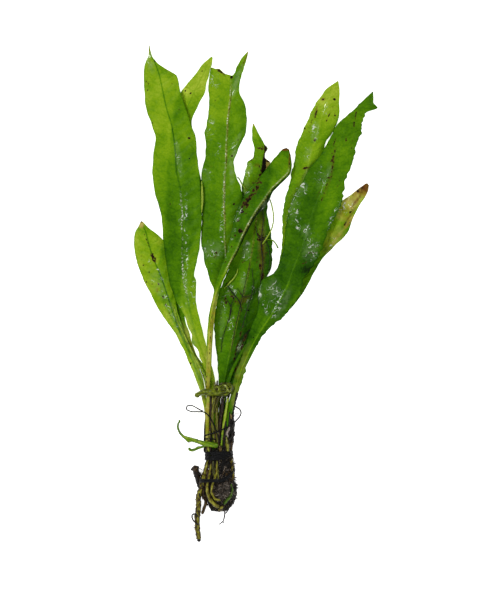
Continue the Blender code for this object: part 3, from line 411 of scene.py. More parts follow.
# Each blade's ribs across it, from the stalk to the tip: left edge, midrib and right edge, each as x, y and height;
# and its round stalk below, as x, y, height and radius.
leafShapes = {
    "leaf_left_low": {
        "stem": [
            (103.6, 76.0, 4.4, 1.05), (103.6, 90.0, 4.4, 1.05), (103.0, 96.0, 4.3, 1.05),
            (102.0, 101.0, 4.1, 1.15), (101.1, 105.5, 3.9, 1.4),
        ],
        "blade": [
            (98.0, 110.0, 3.6, 99.7, 110.5, 3.8, 101.5, 111.0, 3.6),
            (95.8, 115.5, 3.3, 97.5, 116.2, 3.6, 99.2, 117.0, 3.4),
            (92.0, 124.5, 2.9, 93.8, 125.5, 3.4, 95.2, 126.3, 3.3),
            (87.0, 134.0, 2.4, 89.2, 135.5, 3.3, 91.0, 137.0, 3.2),
            (80.0, 144.0, 1.6, 85.2, 147.5, 3.2, 87.8, 149.0, 3.0),
            (75.5, 152.5, 1.0, 83.0, 154.5, 3.0, 87.0, 156.5, 2.9),
            (71.0, 161.5, 0.5, 80.0, 163.0, 2.8, 85.5, 166.0, 2.7),
            (67.8, 171.0, 0.35, 76.2, 172.0, 2.6, 83.5, 175.0, 2.6),
            (66.8, 178.5, 0.6, 74.2, 178.5, 2.4, 81.8, 179.5, 2.4),
            (67.5, 184.0, 1.0, 73.0, 183.5, 2.0, 78.5, 183.0, 1.6),
            (69.2, 187.0, 1.0, 71.8, 186.5, 1.5, 74.5, 186.0, 1.2),
            (70.2, 189.3, 0.9, 70.6, 189.5, 0.9, 71.3, 189.3, 0.9),
        ],
    },
    "leaf_pale_behind": {
        "stem": [
            (104.9, 76.0, 1.6, 0.9), (104.7, 90.0, 1.6, 0.9), (104.0, 101.0, 1.5, 0.85),
            (103.0, 108.8, 1.2, 0.8),
        ],
        "blade": [
            (100.3, 114.5, 1.0, 101.3, 115.0, 1.1, 102.3, 115.5, 1.0),
            (95.8, 123.5, 1.0, 96.9, 124.0, 1.1, 98.5, 125.0, 1.0),
            (91.0, 131.5, 0.8, 92.8, 132.2, 1.1, 95.5, 134.0, 0.9),
            (86.0, 140.0, 0.7, 88.2, 141.2, 1.1, 92.2, 143.5, 0.8),
            (81.0, 149.0, 0.6, 85.0, 149.5, 1.1, 90.0, 151.5, 0.7),
            (79.0, 165.0, 0.4, 84.5, 165.0, 1.1, 91.5, 165.0, 0.6),
            (82.0, 182.5, 0.4, 89.0, 182.5, 1.1, 98.0, 182.5, 0.5),
            (83.0, 197.5, 0.4, 92.5, 197.5, 1.1, 101.4, 197.5, 0.6),
            (83.5, 205.0, 0.5, 93.0, 205.0, 1.2, 101.3, 205.0, 0.5),
            (84.0, 217.5, 0.6, 92.2, 217.5, 1.2, 98.8, 217.5, 0.4),
            (85.0, 230.0, 0.5, 92.0, 230.0, 1.1, 97.0, 230.0, 0.4),
            (86.0, 239.0, 0.5, 92.2, 239.0, 1.1, 95.8, 238.5, 0.6),
            (87.0, 246.0, 0.6, 93.8, 246.5, 1.2, 98.8, 247.0, 0.9),
            (90.0, 253.5, 1.0, 96.5, 253.0, 1.3, 102.2, 253.5, 1.2),
            (94.0, 258.8, 1.3, 99.2, 258.5, 1.4, 103.5, 259.0, 1.5),
            (98.5, 264.2, 1.5, 101.8, 263.5, 1.5, 104.8, 264.0, 1.6),
            (101.2, 268.0, 1.5, 103.8, 268.0, 1.6, 105.8, 267.5, 1.6),
            (104.8, 271.2, 1.5, 105.6, 271.8, 1.5, 106.4, 271.5, 1.5),
        ],
    },
    "leaf_left_tall": {
        "stem": [
            (106.8, 76.0, 7.0, 1.05), (106.8, 84.0, 7.1, 1.05), (106.5, 95.0, 7.0, 1.05),
            (106.1, 101.5, 6.2, 1.05),
        ],
        "blade": [
            (104.1, 108.0, 4.7, 105.9, 108.5, 5.0, 107.6, 109.0, 4.8),
            (101.8, 114.0, 4.2, 104.0, 115.0, 4.5, 106.2, 115.8, 4.2),
            (99.0, 120.0, 3.8, 101.8, 121.0, 4.1, 104.4, 122.0, 4.0),
            (95.0, 129.0, 3.8, 98.8, 130.0, 4.1, 102.2, 131.0, 4.3),
            (92.2, 138.0, 4.2, 96.2, 139.0, 4.4, 100.0, 140.0, 4.9),
            (90.0, 145.5, 4.9, 94.8, 146.0, 4.7, 98.5, 146.5, 5.6),
            (87.0, 152.0, 5.0, 93.5, 152.5, 4.8, 98.0, 152.5, 6.0),
            (84.5, 160.0, 5.0, 91.8, 160.0, 4.9, 98.2, 159.5, 6.3),
            (84.0, 163.0, 5.1, 91.5, 162.5, 4.9, 97.2, 162.2, 6.0),
            (83.0, 170.0, 5.2, 91.2, 170.0, 4.8, 98.8, 170.5, 5.8),
            (82.0, 177.5, 5.3, 91.2, 177.5, 4.7, 100.0, 177.0, 5.2),
            (80.5, 192.5, 5.0, 91.0, 192.5, 4.4, 100.8, 193.0, 4.7),
            (77.2, 205.0, 4.4, 90.2, 205.0, 4.0, 100.4, 205.0, 4.4),
            (76.2, 214.5, 3.7, 88.2, 215.0, 3.8, 99.5, 215.5, 4.2),
            (76.8, 222.5, 3.4, 87.8, 222.5, 3.6, 98.5, 222.5, 3.9),
            (77.8, 230.0, 3.6, 87.0, 230.0, 3.5, 98.2, 229.5, 4.3),
            (75.8, 237.5, 3.3, 85.8, 237.5, 3.4, 95.5, 237.5, 4.2),
            (73.0, 246.0, 2.6, 83.2, 246.0, 3.3, 93.0, 246.0, 3.9),
            (72.2, 253.5, 2.1, 81.5, 254.0, 3.2, 90.2, 254.2, 4.0),
            (72.0, 260.0, 1.9, 80.2, 260.0, 3.1, 89.0, 260.5, 4.3),
            (71.8, 263.0, 2.0, 79.5, 263.0, 3.1, 88.5, 262.0, 4.3),
            (72.0, 266.5, 2.2, 78.5, 266.0, 3.0, 82.5, 265.8, 3.6),
            (73.0, 269.8, 2.3, 77.2, 269.2, 2.9, 78.2, 269.0, 3.0),
            (74.2, 272.5, 2.4, 75.2, 273.0, 2.5, 76.0, 272.2, 2.5),
            (74.3, 277.5, 2.0, 74.5, 277.6, 2.0, 74.7, 277.5, 2.0),
        ],
    },
    "leaf_centre_tall": {
        "stem": [
            (105.9, 76.0, 4.4, 0.95), (105.8, 90.0, 4.3, 0.95), (105.1, 100.0, 3.8, 0.9),
            (105.1, 108.5, 2.6, 0.9), (104.9, 115.0, 2.3, 0.9), (104.9, 121.0, 2.5, 0.9),
            (104.9, 130.0, 3.2, 1.0), (105.3, 140.0, 3.5, 1.2),
        ],
        "blade": [
            (105.5, 147.5, 3.6, 106.6, 147.5, 3.6, 107.8, 148.0, 3.6),
            (107.0, 153.5, 3.6, 108.5, 154.0, 3.6, 109.6, 154.5, 3.6),
            (105.0, 160.0, 3.6, 110.0, 160.0, 3.6, 111.2, 160.0, 3.6),
            (103.0, 166.0, 3.8, 112.0, 166.0, 3.6, 113.6, 166.0, 3.6),
            (101.8, 172.5, 4.2, 113.0, 172.5, 3.6, 116.0, 173.0, 3.7),
            (100.5, 180.0, 4.0, 112.5, 180.0, 3.6, 119.5, 181.0, 3.8),
            (100.9, 190.0, 3.2, 112.4, 190.0, 3.6, 121.5, 191.0, 3.9),
            (101.2, 200.0, 2.9, 112.0, 200.0, 3.6, 121.5, 201.0, 4.0),
            (100.9, 207.0, 2.6, 112.2, 206.0, 3.5, 120.5, 206.0, 3.8),
            (100.6, 212.0, 2.4, 112.5, 211.0, 3.4, 118.5, 211.0, 4.5),
            (101.8, 218.0, 2.3, 113.0, 217.5, 3.2, 117.0, 217.0, 5.2),
            (102.8, 225.0, 2.2, 113.2, 225.0, 3.0, 119.0, 225.0, 5.0),
            (102.2, 232.5, 2.1, 113.5, 232.5, 2.8, 122.8, 233.5, 3.6),
            (103.8, 240.0, 2.0, 114.0, 240.0, 2.6, 123.5, 240.0, 2.2),
            (104.5, 247.5, 2.1, 114.8, 247.5, 2.4, 122.5, 247.5, 2.3),
            (104.2, 254.5, 2.3, 115.5, 254.5, 2.3, 119.8, 255.0, 3.6),
            (104.5, 260.0, 2.4, 115.6, 259.2, 2.2, 120.2, 260.0, 3.8),
            (105.5, 266.2, 2.6, 115.5, 261.2, 2.2, 120.8, 261.5, 3.8),
            (115.9, 262.1, 2.2, 116.5, 262.5, 2.1, 121.0, 262.8, 3.6),
            (118.5, 267.0, 2.0, 119.2, 266.8, 2.0, 122.2, 266.5, 3.2),
            (120.8, 271.0, 2.0, 121.5, 270.8, 2.0, 123.5, 271.0, 2.6),
            (124.0, 274.6, 2.1, 124.1, 274.8, 2.1, 124.3, 274.6, 2.2),
        ],
    },
    "leaf_folded_front": {
        "stem": [
            (104.0, 76.0, 7.0, 1.05), (103.8, 85.0, 7.1, 1.05), (103.8, 94.0, 7.2, 1.0),
            (104.2, 100.0, 7.3, 0.95), (104.0, 107.5, 7.6, 1.0), (104.4, 115.0, 7.4, 1.3),
            (104.7, 125.0, 6.9, 1.4), (105.2, 135.0, 6.6, 1.5),
        ],
        "blade": [
            (104.8, 144.0, 6.7, 105.9, 144.0, 6.8, 107.8, 144.5, 6.6),
            (106.4, 151.5, 7.0, 107.6, 151.5, 7.0, 109.2, 152.0, 6.6),
            (108.0, 158.5, 7.1, 110.2, 158.5, 7.2, 111.3, 158.8, 6.6),
            (110.0, 165.0, 7.0, 113.8, 166.0, 7.3, 114.7, 166.0, 6.4),
            (113.2, 173.0, 6.9, 118.0, 174.5, 7.4, 119.0, 174.2, 6.2),
            (115.2, 182.0, 6.8, 122.5, 184.5, 7.4, 123.7, 184.0, 6.0),
            (118.0, 193.5, 6.8, 127.8, 193.8, 7.3, 129.2, 193.0, 5.6),
            (121.5, 201.0, 6.8, 132.0, 200.0, 7.0, 134.0, 198.5, 5.0),
            (125.0, 206.0, 6.5, 135.5, 205.0, 6.6, 136.4, 203.8, 5.0),
            (129.5, 211.0, 6.0, 140.8, 210.2, 6.0, 141.6, 209.2, 4.7),
            (133.5, 216.0, 5.5, 144.5, 214.5, 5.4, 145.2, 213.4, 4.4),
            (136.0, 219.5, 5.2, 145.0, 219.0, 5.0, 145.9, 218.0, 4.2),
            (138.5, 222.5, 4.9, 144.6, 222.5, 4.7, 145.2, 221.8, 4.2),
            (141.4, 225.5, 4.5, 143.2, 226.0, 4.4, 144.6, 225.2, 4.2),
        ],
    },
    "leaf_centre_spotted": {
        "stem": [
            (108.3, 76.0, 4.4, 1.0), (108.1, 90.0, 4.4, 1.0), (108.6, 98.5, 4.2, 1.1),
            (110.3, 104.0, 3.2, 1.3),
        ],
        "blade": [
            (109.2, 110.0, 2.3, 112.2, 110.0, 2.3, 114.5, 110.0, 2.2),
            (108.8, 117.5, 1.9, 113.8, 118.0, 1.7, 117.8, 119.0, 1.6),
            (107.8, 127.0, 1.7, 116.0, 128.0, 1.3, 122.0, 129.0, 1.1),
            (107.0, 137.0, 1.6, 118.5, 138.0, 1.2, 127.0, 139.0, 0.8),
            (108.0, 147.0, 1.5, 120.8, 147.5, 1.1, 130.0, 149.0, 0.6),
            (110.5, 156.5, 1.4, 123.0, 157.5, 1.1, 132.5, 159.0, 0.6),
            (114.5, 166.0, 1.3, 124.9, 167.5, 1.1, 136.0, 168.0, 0.7),
            (117.0, 175.0, 1.2, 126.2, 176.0, 1.1, 136.2, 176.0, 0.8),
            (119.0, 184.0, 1.1, 127.5, 185.0, 1.1, 135.4, 184.5, 1.0),
            (120.0, 193.0, 1.0, 128.5, 193.5, 1.2, 133.6, 193.5, 1.6),
            (120.5, 200.5, 1.0, 129.0, 201.0, 1.3, 134.0, 200.0, 1.3),
            (121.5, 208.0, 0.9, 129.5, 209.0, 1.4, 135.0, 208.5, 1.1),
            (122.5, 214.5, 0.8, 130.0, 215.0, 1.5, 136.0, 215.0, 1.0),
            (124.8, 219.0, 0.9, 130.2, 219.5, 1.5, 135.2, 219.0, 1.1),
            (127.0, 221.5, 1.1, 130.5, 222.0, 1.4, 132.4, 221.3, 1.3),
            (126.9, 225.5, 1.0, 130.2, 226.0, 1.2, 133.2, 226.0, 1.3),
            (126.2, 230.0, 0.8, 128.8, 230.2, 1.1, 131.2, 230.0, 0.9),
            (126.0, 234.5, 0.7, 127.2, 234.5, 0.9, 128.9, 234.2, 0.7),
            (126.4, 238.3, 0.6, 126.6, 238.5, 0.6, 126.9, 238.3, 0.6),
        ],
    },
    "leaf_right_light": {
        "stem": [
            (111.1, 76.0, 4.4, 0.95), (110.9, 90.0, 4.4, 0.95), (112.2, 100.0, 4.6, 0.9),
            (113.7, 107.5, 4.6, 0.9), (116.2, 115.0, 3.9, 0.85), (121.2, 124.0, 3.2, 0.9),
        ],
        "blade": [
            (124.5, 132.0, 2.9, 126.0, 132.5, 3.0, 127.7, 133.4, 2.9),
            (127.9, 140.0, 2.8, 130.5, 141.0, 2.9, 133.3, 142.5, 2.8),
            (131.2, 150.0, 2.6, 135.5, 151.0, 2.8, 140.5, 152.5, 2.6),
            (138.0, 161.5, 2.4, 141.0, 162.5, 2.6, 147.0, 164.0, 2.4),
            (140.2, 172.0, 2.0, 145.0, 173.0, 2.3, 151.5, 174.0, 2.0),
            (141.2, 182.0, 1.6, 147.5, 183.0, 2.0, 155.5, 184.0, 1.6),
            (141.2, 192.0, 1.2, 149.5, 193.5, 1.8, 158.5, 194.5, 1.3),
            (142.8, 201.0, 1.0, 151.2, 202.5, 1.7, 160.0, 203.5, 1.2),
            (145.0, 209.5, 0.9, 152.8, 211.0, 1.8, 160.5, 212.5, 1.0),
            (146.7, 218.0, 0.8, 154.8, 220.0, 1.9, 161.5, 221.0, 0.9),
            (148.2, 226.2, 0.9, 157.0, 228.5, 2.1, 163.0, 229.0, 0.9),
            (151.5, 234.5, 1.0, 159.5, 236.5, 2.3, 166.8, 234.5, 1.2),
            (155.5, 244.0, 1.0, 162.0, 244.5, 2.4, 169.8, 243.5, 1.4),
            (159.0, 249.8, 1.1, 164.5, 250.5, 2.2, 169.7, 249.0, 1.4),
            (162.5, 255.0, 1.2, 166.8, 255.2, 1.8, 169.9, 254.5, 1.3),
            (168.7, 259.6, 1.1, 169.0, 259.8, 1.1, 169.3, 259.6, 1.1),
        ],
    },
    "leaf_right_broad": {
        "stem": [
            (113.5, 76.0, 7.0, 1.05), (113.7, 85.0, 7.1, 1.05), (115.0, 94.0, 7.2, 1.1),
            (116.3, 100.0, 7.2, 1.4),
        ],
        "blade": [
            (115.9, 106.0, 6.8, 117.8, 106.0, 7.0, 119.8, 106.0, 6.8),
            (117.7, 113.5, 6.5, 120.2, 114.0, 6.7, 122.4, 114.5, 6.4),
            (120.7, 121.5, 6.2, 123.8, 122.5, 6.3, 125.8, 123.0, 6.0),
            (123.0, 128.0, 5.9, 127.0, 129.2, 6.0, 128.8, 128.5, 5.6),
            (125.5, 137.0, 6.0, 131.2, 136.0, 5.8, 134.0, 135.4, 5.2),
            (128.5, 144.0, 6.1, 136.2, 143.5, 5.6, 141.5, 141.5, 4.7),
            (129.2, 153.0, 5.9, 140.5, 151.0, 5.5, 146.2, 147.5, 4.4),
            (131.0, 160.0, 5.6, 144.0, 158.0, 5.5, 150.0, 153.0, 4.3),
            (136.8, 163.6, 5.3, 146.2, 164.0, 5.4, 151.6, 160.2, 4.2),
            (139.8, 168.5, 5.1, 148.4, 170.0, 5.3, 156.6, 167.5, 4.2),
            (141.8, 177.0, 4.8, 151.8, 178.5, 5.1, 161.2, 176.0, 4.3),
            (142.8, 186.0, 4.5, 153.8, 186.0, 4.9, 163.8, 184.5, 4.6),
            (144.4, 194.5, 4.4, 157.0, 195.0, 4.7, 168.5, 193.5, 4.6),
            (147.0, 202.0, 4.4, 160.0, 202.5, 4.5, 171.4, 200.0, 4.2),
            (151.0, 208.5, 4.3, 162.8, 209.0, 4.3, 171.7, 206.5, 3.4),
            (155.0, 216.0, 4.1, 165.2, 216.0, 4.0, 174.5, 214.5, 2.9),
            (159.8, 222.0, 4.0, 167.5, 222.5, 3.8, 177.2, 221.0, 2.5),
            (164.0, 229.0, 3.8, 170.0, 229.5, 3.5, 178.5, 228.5, 2.1),
            (165.8, 232.4, 3.8, 171.8, 233.5, 3.3, 180.6, 233.0, 1.9),
            (168.0, 237.0, 3.6, 174.0, 238.0, 3.1, 180.7, 236.5, 2.1),
            (172.0, 241.2, 3.3, 177.0, 242.0, 2.9, 182.0, 240.0, 2.0),
            (177.8, 245.8, 2.9, 180.8, 246.0, 2.6, 183.5, 243.8, 2.4),
            (180.2, 248.5, 2.7, 183.8, 247.8, 2.5, 188.6, 246.2, 3.3),
            (183.0, 251.2, 2.6, 185.0, 250.2, 2.5, 187.0, 249.0, 2.9),
            (186.2, 254.2, 2.9, 186.4, 254.5, 2.9, 186.7, 254.0, 2.9),
        ],
    },
    "leaf_right_yellow": {
        "stem": [
            (113.6, 76.0, 4.4, 0.95), (113.7, 90.0, 4.3, 0.95), (115.6, 100.0, 3.9, 0.9),
            (117.4, 106.0, 3.5, 0.85), (121.4, 115.0, 2.6, 0.8), (125.9, 124.0, 1.4, 0.8),
        ],
        "blade": [
            (128.9, 132.8, 0.9, 130.0, 132.3, 1.0, 131.1, 131.8, 0.9),
            (133.6, 140.8, 0.8, 135.4, 139.4, 0.9, 137.6, 138.5, 0.7),
            (138.4, 149.6, 0.7, 141.5, 146.5, 0.9, 145.4, 145.8, 0.6),
            (143.0, 158.5, 0.6, 147.0, 154.0, 0.9, 152.2, 154.5, 0.6),
            (148.0, 167.5, 0.5, 152.5, 163.0, 0.9, 157.1, 163.8, 0.6),
            (153.0, 174.0, 0.4, 157.0, 170.0, 0.9, 160.7, 169.8, 0.7),
            (158.0, 182.0, 0.4, 162.5, 177.0, 0.9, 167.5, 177.2, 0.6),
            (163.0, 189.5, 0.5, 168.0, 184.5, 1.0, 173.7, 183.5, 0.5),
            (167.0, 195.5, 0.7, 172.2, 191.5, 1.1, 177.5, 193.0, 0.4),
            (170.5, 199.2, 0.8, 175.5, 196.5, 1.2, 180.5, 198.2, 0.4),
            (174.8, 202.2, 0.9, 178.8, 200.5, 1.2, 182.8, 201.8, 0.5),
            (179.0, 205.5, 0.8, 181.8, 204.2, 1.0, 184.3, 205.2, 0.6),
            (182.8, 208.3, 0.7, 183.8, 208.5, 0.7, 184.6, 207.5, 0.7),
        ],
    },
}

leafOrder = [
    "leaf_pale_behind", "leaf_right_yellow", "leaf_centre_spotted", "leaf_right_light", "leaf_left_low",
    "leaf_centre_tall", "leaf_left_tall", "leaf_small_dark", "leaf_right_broad", "leaf_folded_front",
]  # from the lowest to the topmost

# A small dark blade beside the spotted one, too slight for a solid of its own
leafShapes["leaf_small_dark"] = {
    "stem": [(113.6, 98.0, 4.0, 0.5), (114.6, 103.0, 3.8, 0.6)],
    "blade": [
        (114.9, 108.5, 3.4, 116.0, 108.3, 3.6, 117.2, 108.0, 3.4),
        (116.0, 114.2, 3.2, 117.8, 113.6, 3.4, 119.6, 113.0, 3.2),
        (117.6, 120.8, 3.0, 119.9, 120.1, 3.3, 122.0, 119.4, 3.0),
        (119.0, 127.4, 2.9, 121.8, 126.6, 3.3, 124.2, 125.8, 3.0),
        (121.6, 132.2, 2.9, 123.6, 131.6, 3.2, 125.6, 131.0, 3.0),
        (124.5, 135.4, 2.8, 124.9, 135.5, 2.8, 125.3, 135.3, 2.8),
    ],
}
